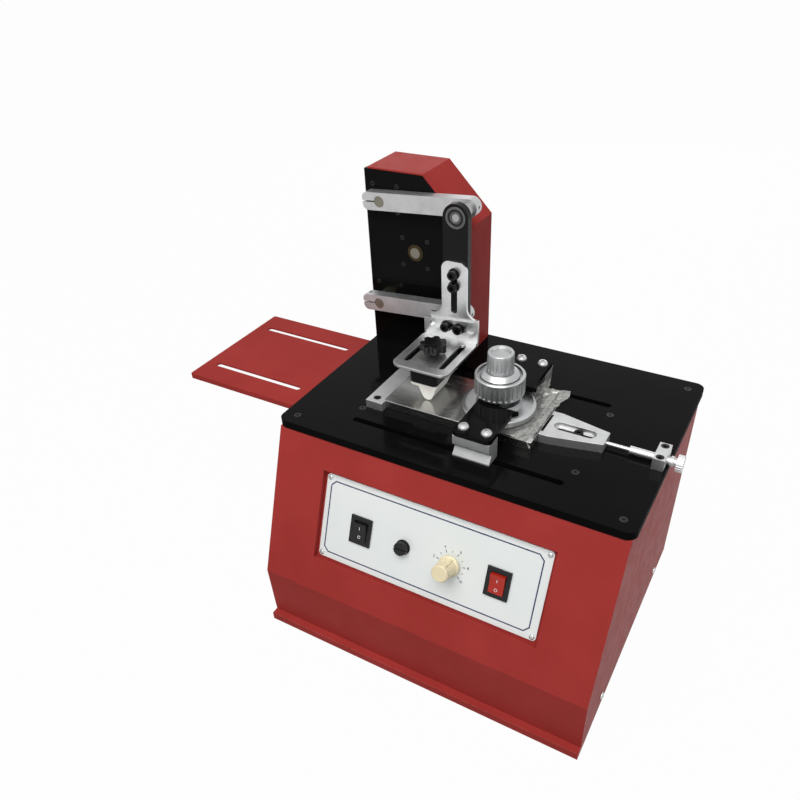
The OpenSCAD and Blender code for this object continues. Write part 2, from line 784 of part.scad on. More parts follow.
work_x1 = -side_x - slide_gap;
work_x0 = work_x1 - work_l;
work_top = tz - table_t - work_gap;
work_mid_y = knob_y + 5.5;
work_slot_in = 14.5;
work_bolt_in = 14;
work_bolt_r = 4;
work_bolt_y = [work_mid_y - 45, work_mid_y + 45];
work_bolt_z = [tz - 95];
work_travel = 60;

// Sheet with a turned-down rim, bent down at the right into the flange that hangs on the body.
module worktable() {
    y0 = work_mid_y - work_w / 2;
    edge_r = 2;
    color(red) difference() {
        union() {
            translate([work_x0, y0, work_top - work_rim]) linear_extrude(work_rim)
                round_rect(4 * edge_r, work_w, edge_r);
            along_y(y0, work_w) {
                translate([work_x0 + 2 * edge_r, work_top - work_rim])
                    square([work_l - work_bend_r - 2 * edge_r, work_rim]);
                translate([work_x1 - work_bend_r, work_top - work_bend_r]) intersection() {
                    difference() {
                        circle(work_bend_r);
                        circle(work_bend_r - work_t);
                    }
                    square(work_bend_r);
                }
                translate([work_x1 - work_t, work_top - work_flange_h])
                    square([work_t, work_flange_h - work_bend_r]);
            }
        }
        translate([work_x0 + work_t, y0 + work_t, work_top - work_rim - eps])
            cube([work_l - work_bend_r - work_t, work_w - 2 * work_t, work_rim - work_t + eps]);
        for (s = [-1, 1]) translate([work_x0 + work_slot_in + work_slot_l / 2,
            work_mid_y + s * work_pitch / 2, work_top - work_t - eps])
            linear_extrude(work_t + 2 * eps) slot_2d(work_slot_l, work_slot_w);
        for (y = work_bolt_y) translate([work_x1 - work_t - eps, y, work_bolt_z[0] + work_travel / 2])
            rotate([0, 90, 0]) linear_extrude(work_t + 2 * eps)
                slot_2d(work_travel + 2 * work_bolt_r + 2, 2 * work_bolt_r + 1);
    }
}

module worktable_bolts() {
    washer_t = 1.6;
    face = work_x1 - work_t - slide_gap;
    color(steel) for (y = work_bolt_y, z = work_bolt_z) {
        bar_x(face - washer_t, y, z, washer_t, 2.2 * work_bolt_r);
        translate([face - washer_t - 5.3, y, z]) rotate([0, 90, 0]) cylinder(h = 5.3, r = 7.5, $fn = 6);
        bar_x(face, y, z, -side_x + work_bolt_in - face, work_bolt_r);
        translate([-side_x + sheet, y, z]) rotate([0, 90, 0]) difference() {
            cylinder(h = 6.5, r = 7.5, $fn = 6);
            translate([0, 0, -eps]) cylinder(h = 8, r = work_bolt_r + seat_fit);
        }
    }
}

// Tower

plate_fit = 0.2;

module tower_outline(t) {
    x0 = tower_x0 + t;
    x1 = tower_x1 - t;
    slant_a = atan2(tower_slant, tower_w - tower_flat);
    polygon([[x0, tz], [x1, tz], [x1, tz + tower_h - tower_slant - t * tan((90 - slant_a) / 2)],
        [tower_x0 + tower_flat - t * tan(slant_a / 2), tz + tower_h - t], [x0, tz + tower_h - t]]);
}

bush_xz = [[shaft_x, shaft_zu], [shaft_x, shaft_zl], [sync_x, sync_zc]];
flange_screw_xz = concat([for (z = [shaft_zu, shaft_zl], x = [-15, 15], d = [-14, 14]) [shaft_x + x, z + d]],
    [for (x = [-15.5, 15.5], d = [-15.5, 15.5]) [sync_x + x, sync_zc + d]]);
plate_screw_r = 2.5;
cover_screw_z = [tz + 20, tz + 140];
spacer_xz = [[shaft_x + 28, tz + tower_h - 14], [tower_x1 - 11.5, tz + 143], [tower_x1 - 12, tz + 66],
    [tower_x0 + 9, tz + 20], [tower_x1 - 12, tz + 22]];
spacer_r = 5;

module tower_plate() {
    color(black) difference() {
        along_y(tower_y0, plate_t) {
            tower_outline(sheet + plate_fit);
            translate([tower_x0 - plate_over, tz])
                square([plate_over + 2 * sheet, tower_h - sheet - plate_fit]);
        }
        for (p = bush_xz) bar_y(p[0], p[1], tower_y0 - eps, plate_t + 2 * eps, bush_r + seat_fit);
        for (p = flange_screw_xz)
            bar_y(p[0], p[1], tower_y0 - eps, plate_t + 2 * eps, plate_screw_r + seat_fit);
        for (p = tower_foot_xy) translate([p[0], p[1], tz - eps]) cylinder(h = 12, r = screw_r + seat_fit);
        for (z = cover_screw_z) bar_x(tower_x1 - sheet - 10, tower_y0 + plate_t / 2, z, 12, 1.5 + seat_fit);
    }
}

module tower_cover() {
    color(red) difference() {
        along_y(tower_y0, tower_y1 - tower_y0) tower_outline(0);
        along_y(tower_y0 - eps, tower_y1 - tower_y0 - sheet + eps) tower_outline(sheet);
        translate([tower_x0 + sheet, tower_y0 - eps, tz - eps])
            cube([tower_w - 2 * sheet, tower_y1 - tower_y0 - sheet + eps, 2 * eps]);
        translate([tower_x0 - eps, tower_y0 - eps, tz - eps])
            cube([sheet + 2 * eps, plate_t + eps, tower_h - sheet + eps]);
        for (z = cover_screw_z)
            bar_x(tower_x1 - 2 * sheet, tower_y0 + plate_t / 2, z, 4 * sheet, 1.5 + seat_fit);
    }
}

module tower_screws() {
    color(steel) {
        for (p = flange_screw_xz) difference() {
            bar_y(p[0], p[1], tower_y0 - 0.3, plate_t + 0.3, plate_screw_r);
            translate([p[0], tower_y0 - 1, p[1]]) rotate([-90, 0, 0]) cylinder(h = 2.2, r = 1.3, $fn = 6);
        }
        for (z = cover_screw_z) {
            bar_x(tower_x1, tower_y0 + plate_t / 2, z, 1.4, 2.8);
            bar_x(tower_x1 - 9, tower_y0 + plate_t / 2, z, 9, 1.5);
        }
    }
}

module inner_plate() {
    margin = 4.5;
    color(steel) difference() {
        along_y(inner_y0, inner_t) tower_outline(sheet + margin);
        for (p = bush_xz) bar_y(p[0], p[1], inner_y0 - eps, inner_t + 2 * eps, bush_r + seat_fit);
        for (p = tower_foot_xy) translate([p[0], p[1], tz - eps]) cylinder(h = 12, r = screw_r + seat_fit);
    }
}

module tower_spacers() {
    color(steel) for (p = spacer_xz) bar_y(p[0], p[1], plate_back, inner_y0 - plate_back, spacer_r);
}

module shaft_bushes() {
    lip = 1.5;
    color(brass) for (p = bush_xz) {
        difference() {
            union() {
                bar_y(p[0], p[1], tower_y0, plate_t, bush_r);
                bar_y(p[0], p[1], plate_back, lip, bush_r + 2.2);
            }
            bar_y(p[0], p[1], tower_y0 - eps, plate_t + lip + 2 * eps, shaft_r + run_fit);
        }
        difference() {
            union() {
                bar_y(p[0], p[1], inner_y0, inner_t, bush_r);
                bar_y(p[0], p[1], inner_y0 - lip, lip, bush_r + 2.2);
            }
            bar_y(p[0], p[1], inner_y0 - lip - eps, inner_t + lip + 2 * eps, shaft_r + run_fit);
        }
    }
}

// Swing arms and drive

slit = 1.6;
clamp_x = 12.5;
collar_r = 9;

// Arm with a split clamp end on the shaft and a round pivot end, from the shaft's axis, along local X.
module arm(y0) {
    along_y(y0, arm_t) difference() {
        union() {
            translate([-arm_tail + 6, -arm_h / 2]) square([arm_l + arm_tail - 6, arm_h]);
            translate([arm_l, 0]) circle(arm_h / 2);
            translate([-arm_tail, -arm_h / 2]) round_rect(20, arm_h, 6);
        }
        circle(shaft_r + seat_fit);
        translate([arm_l, 0]) circle(pin_r + seat_fit);
        translate([-arm_tail - 1, -slit / 2]) square([arm_tail + 1, slit]);
    }
}

// Clamp screw across the slit of an arm.
module arm_screw_hole(y0) {
    translate([-clamp_x - 1, y0 + arm_t / 2, -arm_h]) cylinder(h = 2 * arm_h, r = 2.1);
    translate([-clamp_x - 1, y0 + arm_t / 2, -arm_h / 2 - eps]) cylinder(h = 3.5 + eps, r = 4);
}

module placed_arm(y0, z) {
    translate([shaft_x, 0, z]) rotate([0, -arm_tilt, 0]) difference() {
        arm(y0);
        arm_screw_hole(y0);
        translate([arm_l, y0 + arm_t / 2, 0]) rotate([0, 90, 0]) cylinder(h = arm_h, r = 1.6);
    }
}

module upper_arm() { color(silver) placed_arm(upper_arm_y0, shaft_zu); }
module lower_arm() { color(silver) placed_arm(lower_arm_y0, shaft_zl); }

module upper_shaft() {
    color(steel) bar_y(shaft_x, shaft_zu, upper_arm_y0, shaft_end - upper_arm_y0, shaft_r);
}

module lower_shaft() {
    collar_y0 = lower_arm_y0 + arm_t;
    color(steel) {
        bar_y(shaft_x, shaft_zl, lower_arm_y0, shaft_end - lower_arm_y0, shaft_r);
        bar_y(shaft_x, shaft_zl, collar_y0, tower_y0 - arm_gap - collar_y0, collar_r);
        pulley(shaft_x, shaft_zl, shaft_r);
    }
}

// Flanged pulley for the belt, on a shaft along Y.
module pulley(x, z, bore) {
    flange_t = 1.5;
    difference() {
        union() {
            bar_y(x, z, pulley_y0, pulley_t, pulley_r);
            for (y = [pulley_y0, pulley_y0 + pulley_t - flange_t])
                bar_y(x, z, y, flange_t, pulley_r + belt_t + 1.5);
        }
        bar_y(x, z, pulley_y0 - eps, pulley_t + 2 * eps, bore - eps / 5);
    }
}

module pinion_gear(z, a) {
    color(steel) difference() {
        translate([shaft_x, 0, z]) along_y(gear_y0, gear_t) gear_2d(gear_m, pinion_z, a);
        bar_y(shaft_x, z, gear_y0 - eps, gear_t + 2 * eps, shaft_r + seat_fit);
    }
}

module upper_pinion() { pinion_gear(shaft_zu, pinion_up_a); }
module lower_pinion() { pinion_gear(shaft_zl, pinion_low_a); }

module sync_gear() {
    web_r = gear_m * sync_z / 2 - 9;
    color(steel) {
        difference() {
            translate([sync_x, 0, sync_zc]) along_y(gear_y0, gear_t) gear_2d(gear_m, sync_z, low_phase);
            for (k = [0 : 4]) translate([sync_x, 0, sync_zc]) rotate([0, 72 * k, 0])
                bar_y((web_r + shaft_r + 5) / 2, 0, gear_y0 - eps, gear_t + 2 * eps,
                    (web_r - shaft_r - 5) / 3);
        }
        bar_y(sync_x, sync_zc, tower_y0 - 0.4, shaft_end - tower_y0 + 0.4, shaft_r);
    }
}

// Belt loop over the two equal pulleys.
module drive_belt() {
    inner_r = pulley_r + slide_gap;
    dx = drive_x - shaft_x;
    dz = drive_z - shaft_zl;
    span = sqrt(dx * dx + dz * dz);
    color(black) translate([shaft_x, 0, shaft_zl]) rotate([0, -atan2(dz, dx), 0])
        along_y(pulley_y0 + 2, pulley_t - 4) difference() {
            union() {
                translate([0, -inner_r - belt_t]) square([span, 2 * (inner_r + belt_t)]);
                for (x = [0, span]) translate([x, 0]) circle(inner_r + belt_t);
            }
            translate([0, -inner_r]) square([span, 2 * inner_r]);
            for (x = [0, span]) translate([x, 0]) circle(inner_r);
        }
}

motor_r = 18.5;
motor_l = 100;
motor_bracket_t = 4;
motor_y1 = slot_ys[1] + block_w / 2 + 1;

module gear_motor() {
    bracket_top = tz - table_t;
    bracket_w2 = 46;
    color(steel) {
        difference() {
            union() {
                translate([drive_x - bracket_w2 / 2, motor_y1, drive_z - motor_r - 3])
                    cube([bracket_w2, motor_bracket_t, bracket_top - drive_z + motor_r + 3]);
                translate([drive_x - bracket_w2 / 2, motor_y1, bracket_top - 4]) cube([bracket_w2, 15, 4]);
            }
            bar_y(drive_x, drive_z, motor_y1 - eps, motor_bracket_t + 2 * eps, drive_r + 1);
        }
        for (x = [-16, 16]) translate([drive_x + x, motor_y1 + 9, bracket_top]) {
            translate([0, 0, -7]) cylinder(h = 4, r = head_r);
            translate([0, 0, -6]) cylinder(h = 11, r = screw_r);
        }
        difference() {
            union() {
                bar_y(drive_x, drive_z, motor_y1 - motor_l, motor_l - 30, motor_r - 1);
                bar_y(drive_x, drive_z, motor_y1 - 30, 30, motor_r);
            }
            bar_y(drive_x, drive_z, motor_y1 - 20, 21, drive_r + run_fit);
        }
    }
}

module drive_shaft() {
    shaft_y0 = motor_y1 - 18;
    color(steel) {
        bar_y(drive_x, drive_z, shaft_y0, pulley_y0 + pulley_t + 3 - shaft_y0, drive_r);
        translate([drive_x, 0, drive_z]) along_y(rack_y0, rack_t) gear_2d(rack_m, rack_z, 90);
        pulley(drive_x, drive_z, drive_r);
    }
}

// Pad head

pin_front = link_y0 + 0.3;
upper_pivot = [head_x, shaft_zu + pivot_dz];
lower_pivot = [head_x, shaft_zl + pivot_dz];

module link_bar() {
    color(black) difference() {
        along_y(link_y0, link_t) {
            translate([head_x - link_r, lower_pivot[1]])
                square([2 * link_r, upper_pivot[1] - lower_pivot[1]]);
            for (p = [upper_pivot, lower_pivot]) translate(p) circle(link_r);
        }
        for (p = [upper_pivot, lower_pivot]) {
            bar_y(p[0], p[1], link_y0 - eps, bearing_w + eps, bearing_r + seat_fit);
            bar_y(p[0], p[1], link_y0 - eps, link_t + 2 * eps, bearing_r - bearing_in);
        }
        for (z = height_bolt_z) bar_y(head_x, z, link_y0 - eps, link_t + 2 * eps, 3 + seat_fit);
    }
}

// Ball bearings of the link: an outer ring, a sunk shield and an inner ring turned as one.
module link_bearings() {
    color(steel) for (p = [upper_pivot, lower_pivot]) translate([p[0], link_y0, p[1]]) rotate([-90, 0, 0])
        rotate_extrude() polygon([[pin_r + run_fit * 2, 0], [pin_r + 2, 0], [pin_r + 2, 0.6],
            [bearing_r - bearing_in, 0.6], [bearing_r - bearing_in, 0], [bearing_r, 0],
            [bearing_r, bearing_w],
            [pin_r + run_fit * 2, bearing_w]]);
}

// Pivot pin of an arm with a collar that spaces the link from the arm.
module pivot_pin(p, y0) {
    collar_y0 = link_y0 + link_t + slide_gap;
    bar_y(p[0], p[1], pin_front, y0 + arm_t - pin_front, pin_r);
    difference() {
        bar_y(p[0], p[1], collar_y0, y0 - collar_y0, pin_r + 3);
        bar_y(p[0], p[1], collar_y0 - eps, 2, pin_r - 1);
    }
}

module upper_pin() { color(steel) pivot_pin(upper_pivot, upper_arm_y0); }
module lower_pin() { color(steel) pivot_pin(lower_pivot, lower_arm_y0); }

stem_top = height_bolt_z[1] + 13;
base_rise = 25;
base_w = 56;

module height_bracket() {
    base_z = tz + shelf_z + 2;
    shoulder = tz + shelf_z + base_rise;
    slot_z0 = shoulder + 6.7;
    fillet = 11;
    color(silver) along_y(height_y0, bracket_t) difference() {
        union() {
            translate([head_x - stem_w / 2, base_z]) round_rect(stem_w, stem_top - base_z, 9);
            translate([head_x - base_w / 2, base_z]) square([base_w, shoulder - base_z]);
            for (s = [-1, 1]) difference() {
                translate([head_x + s * (stem_w / 2 + fillet / 2), shoulder + fillet / 2])
                    square([fillet, fillet], center = true);
                translate([head_x + s * (stem_w / 2 + fillet), shoulder + fillet]) circle(fillet);
            }
        }
        translate([head_x, (height_bolt_z[1] + slot_z0) / 2]) rotate(90)
            slot_2d(height_bolt_z[1] - slot_z0 + bracket_slot_w, bracket_slot_w);
        for (s = [-1, 1]) translate([head_x + s * head_bolt_x, head_bolt_z]) circle(3 + seat_fit);
    }
}

// Socket-head bolt along Y with its head in front of y.
module head_bolt(x, z, y, len) {
    difference() {
        union() {
            bar_y(x, z, y - 1.2, 1.2, 6.2);
            bar_y(x, z, y - 6.2, 5, 5);
            bar_y(x, z, y, len, 3);
        }
        translate([x, y - 6.7, z]) rotate([-90, 0, 0]) cylinder(h = 3.5, r = 2.9, $fn = 6);
    }
}

module head_bolts() {
    color(black) {
        for (z = height_bolt_z) head_bolt(head_x, z, height_y0, bracket_t + link_t - 1);
        for (s = [-1, 1]) head_bolt(head_x + s * head_bolt_x, head_bolt_z, flange_y0, 2 * bracket_t);
    }
}

shelf_slot_x = 20;
shelf_slot_l = 53;
flange_slot_l = 54;
flange_low = 18.5;
flange_high = 24.5;

// Shelf with two slots, bent up at the rear into a flange whose top edge rises to the right.
module pad_bracket() {
    x0 = head_mid - bracket_w / 2;
    shelf_top = tz + shelf_z;
    color(silver) {
        difference() {
            translate([x0, shelf_y0, shelf_top - bracket_t]) linear_extrude(bracket_t)
                round_rect(bracket_w, bracket_d, 9);
            for (s = [-1, 1]) translate([head_mid + s * shelf_slot_x, shelf_y0 + bracket_d / 2, tz])
                rotate(90) linear_extrude(2 * shelf_z) slot_2d(shelf_slot_l, bracket_slot_w);
            translate([head_mid, knob_y, tz]) cylinder(h = 2 * shelf_z, r = 3 + 2 * run_fit);
        }
        along_y(flange_y0, bracket_t) difference() {
            polygon([[x0, shelf_top - bracket_t], [x0 + bracket_w, shelf_top - bracket_t],
                [x0 + bracket_w, shelf_top + flange_high], [x0, shelf_top + flange_low]]);
            translate([head_mid + 1.5, head_bolt_z]) slot_2d(flange_slot_l, bracket_slot_w);
        }
    }
}

board_corner_r = 5;
board_hole_z = 4;

module pad_board() {
    color(black) difference() {
        translate([head_mid - board_w / 2, board_y0, board_z0]) linear_extrude(board_t)
            round_rect(board_w, board_l, board_corner_r);
        translate([head_mid, knob_y, board_z0 + board_hole_z]) cylinder(h = board_t, r = 3 + 2 * run_fit);
    }
}

module pad_knob() {
    grip_r = 10.5;
    grip_h = 8.5;
    hub_h = 5;
    stud_l = bracket_t + board_t - board_hole_z - 3;
    color(black) translate([head_mid, knob_y, tz + shelf_z + slide_gap]) {
        translate([0, 0, -stud_l]) cylinder(h = stud_l + hub_h + 1, r = 3);
        cylinder(h = hub_h + 1, r = 6);
        translate([0, 0, hub_h]) linear_extrude(grip_h) {
            circle(grip_r + 0.5);
            for (k = [0 : 6]) rotate(360 * k / 7) translate([grip_r, 0]) circle(3.7, $fn = 24);
        }
    }
}

pad_flange = 3;
pad_tip_r = 6;
pad_off = 5;
roof_w = 21;

// Silicone pad: a thin base under the board and a bullet-shaped roof with its ridge along Y.
module print_pad() {
    w = board_w - 1;
    l = board_l - 1;
    y0 = board_y0 + 0.5;
    ridge = tz + ink_t + pad_gap;
    top = board_z0 - pad_flange;
    tip_z = ridge + pad_tip_r;
    mid = head_mid + pad_off;
    rise = top + 1 - tip_z;
    flank_a = atan2(rise, roof_w / 2) - acos(pad_tip_r / sqrt(rise * rise + roof_w * roof_w / 4));
    touch = pad_tip_r * [cos(flank_a), sin(flank_a)];
    draft = 1.2;
    color([0.93, 0.92, 0.87]) {
        translate([head_mid - w / 2, y0, top]) linear_extrude(pad_flange)
            round_rect(w, l, board_corner_r - 0.5);
        intersection() {
            along_y(y0, l) {
                polygon([[mid - roof_w / 2, top + 1], [mid + roof_w / 2, top + 1],
                    [mid + touch[0], tip_z + touch[1]], [mid - touch[0], tip_z + touch[1]]]);
                translate([mid, tip_z]) circle(pad_tip_r);
            }
            along_x(mid - w, 2 * w) polygon([[y0 + 0.3, top + 1], [y0 + ridge_l + 2 * draft, top + 1],
                [y0 + ridge_l + draft, ridge - 1], [y0 + draft, ridge - 1]]);
        }
    }
}

// Ink plate, stop and clamp

module ink_plate() {
    color(steel) translate([ink_x0, line_y - ink_w / 2, tz]) cube([ink_l, ink_w, ink_t]);
}

module stop_bar() {
    fit = 0.2;
    x0 = ink_x0 - stop_w;
    y0 = line_y - stop_l / 2;
    color(silver) difference() {
        translate([x0, y0, tz]) cube([stop_w + stop_lip, stop_l, stop_h]);
        translate([ink_x0 - fit, line_y - ink_w / 2 - fit, tz - eps])
            cube([2 * stop_lip, ink_w + 2 * fit, stop_h + 2 * eps]);
        for (p = stop_screw_xy) translate([p[0], p[1], tz - eps]) {
            cylinder(h = stop_h + 2 * eps, r = screw_r + seat_fit);
            translate([0, 0, stop_h - socket_h]) cylinder(h = socket_h + 2 * eps, r = stop_hole_r);
        }
    }
}

wedge_a = 43;
wedge_b = 21.7;
prong = 2.5;
wedge_slot_l = 43;
wedge_slot_w = 13;
wedge_slot_x = 30;
wedge_screw_x = 34;

clamp_seat = 5;
rod_tip = 9;

module plate_clamp() {
    color(silver) translate([wedge_x0 + 0.2, line_y, tz]) difference() {
        linear_extrude(wedge_t) difference() {
            polygon([[0, -wedge_a / 2], [10, -wedge_a / 2], [wedge_l, -wedge_b / 2], [wedge_l, wedge_b / 2],
                [10, wedge_a / 2], [0, wedge_a / 2]]);
            translate([-eps, -wedge_a / 2 + 6]) square([prong + eps, wedge_a - 12]);
            translate([wedge_slot_x, 0]) slot_2d(wedge_slot_l - 6, 6.6);
        }
        translate([wedge_slot_x, 0, clamp_seat]) linear_extrude(wedge_t) slot_2d(wedge_slot_l, wedge_slot_w);
        bar_x(wedge_l - rod_tip - 1, 0, rod_z - tz, rod_tip + 2, rod_r + run_fit);
    }
}

module clamp_screw() {
    color(black) translate([wedge_x0 + wedge_screw_x, line_y, tz]) difference() {
        union() {
            cylinder(h = clamp_seat + 1, r = 2.9);
            translate([0, 0, clamp_seat]) cylinder(h = 3.6, r = 4.8);
        }
        translate([0, 0, clamp_seat + 1.2]) cylinder(h = 4, r = 2.3, $fn = 6);
    }
}

knob_gap = 9;

module plate_rod() {
    x0 = wedge_x1 + 0.2 - rod_tip;
    thick_x0 = wedge_x1 + 23;
    block_x1 = block_x0 + block_t;
    knob_x0 = block_x1 + knob_gap;
    color(silver) {
        bar_x(x0, line_y, rod_z, thick_x0 - x0 + 1, rod_r);
        bar_x(thick_x0, line_y, rod_z, knob_x0 - thick_x0 + 1, rod_thick_r);
        bar_x(block_x1 + 3, line_y, rod_z, 3, rod_thick_r + 1.2);
        difference() {
            bar_x(knob_x0, line_y, rod_z, 6, rod_knob_r);
            translate([knob_x0 - eps, line_y, rod_z]) rotate([0, 90, 0]) flutes(20, rod_knob_r + 0.5, 0.9, 7);
        }
    }
}

module rod_block() {
    color(silver) difference() {
        translate([block_x0, line_y + block_shift - block_d / 2, tz]) cube([block_t, block_d, block_top_h]);
        bar_x(block_x0 - eps, line_y, rod_z, block_t + 2 * eps, rod_thick_r + run_fit);
        for (p = block_screw_xy) translate([p[0], p[1], tz - eps]) {
            cylinder(h = block_top_h + 2 * eps, r = screw_r + seat_fit);
            translate([0, 0, block_top_h - socket_h]) cylinder(h = socket_h + 2 * eps, r = 4);
        }
    }
}

// Ink cup and its carriage

cavity_top = 3;

module cup_body() {
    color(silver) translate([cup_x, line_y, 0]) rotate_extrude() polygon([
        [0, cup_top - cavity_top], [cup_r - cup_wall - 2, cup_top - cavity_top],
        [cup_r - cup_wall, cup_top - cavity_top - 2], [cup_r - cup_wall, cup_z0], [cup_r - 2.5, cup_z0],
        [cup_r, cup_z0 + 2.5], [cup_r, cup_top - 2.5], [cup_r - 1.5, cup_top - 0.8], [cup_r - 4, cup_top],
        [shoulder_r, cup_top], [shoulder_r, tz + bridge_z - slide_gap / 3],
        [neck_r, tz + bridge_z - slide_gap / 3], [neck_r, bridge_top], [spigot_r, bridge_top],
        [spigot_r, collar_z],
        [ring_r - 5.5, collar_z], [ring_r - 5.5, collar_z + 2.5], [top_knob_r + 1.5, collar_z + collar_h],
        [stud_r, collar_z + collar_h], [stud_r, knob_z0 + top_knob_h - 6], [0, knob_z0 + top_knob_h - 6]]);
}

module cup_ring() {
    z1 = ring_z0 + ring_h;
    color(silver) translate([cup_x, line_y, 0]) difference() {
        rotate_extrude() polygon([[spigot_r + run_fit, ring_z0], [ring_r - 3, ring_z0], [ring_r, ring_z0 + 3],
            [ring_r, z1 - 1.2], [ring_r - 1, z1], [ring_r - 3, z1], [ring_r - 3.6, collar_z - slide_gap],
            [spigot_r + run_fit, collar_z - slide_gap]]);
        translate([0, 0, ring_z0 + 4]) flutes(ring_flutes, ring_r + 0.9, 1.9, ring_h - 8);
    }
}

module cup_knob() {
    color(silver) translate([cup_x, line_y, knob_z0]) difference() {
        rotate_extrude() polygon([[0, top_knob_h - 2], [top_knob_r - 5, top_knob_h - 2],
            [top_knob_r - 4, top_knob_h],
            [top_knob_r - 1.6, top_knob_h], [top_knob_r - 1, top_knob_h - 1], [top_knob_r, 0], [0, 0]]);
        translate([0, 0, -eps]) cylinder(h = top_knob_h - 5 + eps, r = stud_r + run_fit);
        translate([0, 0, 2.5]) flutes(knob_flutes, top_knob_r + 0.7, 1.6, top_knob_h - 7);
    }
}

bridge_y0 = slot_ys[0] - 10;
bridge_y1 = slot_ys[1] + 12;
lobe_r = 38.5;
hub_r = 20;
mouth_r = neck_r + 0.5;
mouth_w = 46;

module bridge_plate() {
    x0 = bridge_x - bridge_w / 2;
    color(black) translate([0, 0, tz + bridge_z]) linear_extrude(bridge_t) difference() {
        union() {
            translate([x0, bridge_y0]) round_rect(bridge_w, bridge_y1 - bridge_y0, 5);
            translate([cup_x, line_y]) circle(hub_r);
            translate([cup_x, line_y]) intersection() {
                circle(lobe_r);
                translate([0, -lobe_r]) square([lobe_r, 2 * lobe_r]);
            }
        }
        translate([cup_x, line_y]) circle(mouth_r);
        translate([cup_x, line_y - mouth_r]) square([lobe_r, 2 * mouth_r]);
        translate([cup_x + 6, line_y - mouth_w / 2]) round_rect(2 * lobe_r, mouth_w, 6);
        for (y = slot_ys, s = [-1, 1]) translate([bridge_x + s * bolt_half, y]) circle(3 + seat_fit);
    }
}

module bridge_bolts() {
    color(silver) for (y = slot_ys, s = [-1, 1]) translate([bridge_x + s * bolt_half, y, bridge_top]) {
        difference() {
            rotate_extrude() polygon([[0, 0], [5.4, 0], [5.4, 1.6], [4.2, 3.6], [2, 4.4], [0, 4.5]]);
            translate([0, 0, 2.5]) cylinder(h = 3, r = 1.9, $fn = 6);
        }
        translate([0, 0, -bridge_t - 10]) cylinder(h = bridge_t + 10.5, r = 3);
    }
}

// Foot with a V groove along its outer face, standing on the table and reaching down through a slot.
module bridge_foot(y, side) {
    groove_z = 9;
    groove_in = 6;
    tongue_w = slot_w - 2;
    block_top = guide_z + block_h / 2;
    outer = y + side * foot_d / 2;
    inner = y - side * foot_d / 2;
    color(silver) difference() {
        union() {
            along_x(bridge_x - bridge_w / 2 + 0.5, bridge_w - 1)
                polygon([[inner, tz + slide_gap], [inner, tz + bridge_z], [outer, tz + bridge_z],
                    [outer, tz + groove_z + groove_in], [outer - side * groove_in, tz + groove_z],
                    [outer, tz + 2], [outer, tz + slide_gap]]);
            translate([bridge_x - 17, y - tongue_w / 2, block_top]) cube([34, tongue_w, tz + 1 - block_top]);
        }
        for (s = [-1, 1]) translate([bridge_x + s * bolt_half, y, tz + bridge_z - 11])
            cylinder(h = 12, r = 3 + seat_fit);
    }
}

module bridge_feet() {
    bridge_foot(slot_ys[0], -1);
    bridge_foot(slot_ys[1], 1);
}

module carriage() {
    color(steel) {
        for (y = slot_ys) difference() {
            translate([bridge_x - bridge_w / 2, y - block_w / 2, bar_top]) cube([bridge_w, block_w, block_h]);
            bar_x(bridge_x - bridge_w, y, guide_z, 2 * bridge_w, guide_r + run_fit);
        }
        translate([bar_x0, slot_ys[0] - block_w / 2, bar_top - bar_t])
            cube([bar_w, rack_y0 + rack_t - slot_ys[0] + block_w / 2, bar_t]);
    }
}

module guide_rods() {
    holder_top = tz - table_t;
    color(steel) for (y = slot_ys) {
        inward = y < line_y ? 1 : -1;
        for (x = [guide_x0, guide_x1 - holder_t]) difference() {
            translate([x, min(y - inward * 10, y + inward * 26), guide_z - 10])
                cube([holder_t, 36, holder_top - guide_z + 10]);
            bar_x(x - eps, y, guide_z, holder_t + 2 * eps, guide_r - eps / 5);
            translate([x + holder_t / 2, holder_screw_y(y), holder_top - 6])
                cylinder(h = 7, r = screw_r + seat_fit);
        }
        bar_x(guide_x0, y, guide_z, guide_x1 - guide_x0, guide_r);
    }
}

module cup_rack() {
    pitch = PI * rack_m;
    half = pitch / 4 - backlash / 4;
    tip = half - rack_m * tan(20);
    root = half + 1.25 * rack_m * tan(20);
    body_z0 = rack_line + 1.25 * rack_m;
    rack_h = 12;
    first = ceil((rack_x0 + pitch - drive_x) / pitch - 0.5);
    last = floor((bar_x0 - 6 - drive_x) / pitch - 0.5);
    color(steel) along_y(rack_y0, rack_t) {
        translate([rack_x0, body_z0]) square([bar_x0 - rack_x0, bar_top + rack_h - body_z0]);
        translate([bar_x0 - eps, bar_top]) square([bar_w + eps, rack_h]);
        for (k = [first : last]) translate([drive_x + (k + 0.5) * pitch, rack_line])
            polygon([[-tip, -rack_m], [tip, -rack_m], [root, 1.25 * rack_m], [root, 1.5 * rack_m],
                [-root, 1.5 * rack_m], [-root, 1.25 * rack_m]]);
    }
}

base_pan();
rubber_feet();
body_shell();
rear_cover();
mains_inlet();
table_plate();
table_screws();
control_panel();
case_screws();
switch_frames();
left_rocker();
right_rocker();
fuse_socket();
fuse_cap();
speed_control();
speed_knob();
control_board();
worktable();
worktable_bolts();
tower_plate();
tower_cover();
tower_screws();
inner_plate();
tower_spacers();
shaft_bushes();
upper_arm();
upper_shaft();
upper_pinion();
upper_pin();
lower_arm();
lower_shaft();
lower_pinion();
lower_pin();
sync_gear();
drive_belt();
gear_motor();
drive_shaft();
link_bar();
link_bearings();
height_bracket();
head_bolts();
pad_bracket();
pad_board();
pad_knob();
print_pad();
ink_plate();
stop_bar();
plate_clamp();
clamp_screw();
plate_rod();
rod_block();
cup_body();
cup_ring();
cup_knob();
bridge_plate();
bridge_bolts();
bridge_feet();
carriage();
guide_rods();
cup_rack();
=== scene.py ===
import json
import math
import bpy
from mathutils import Matrix, Vector, noise


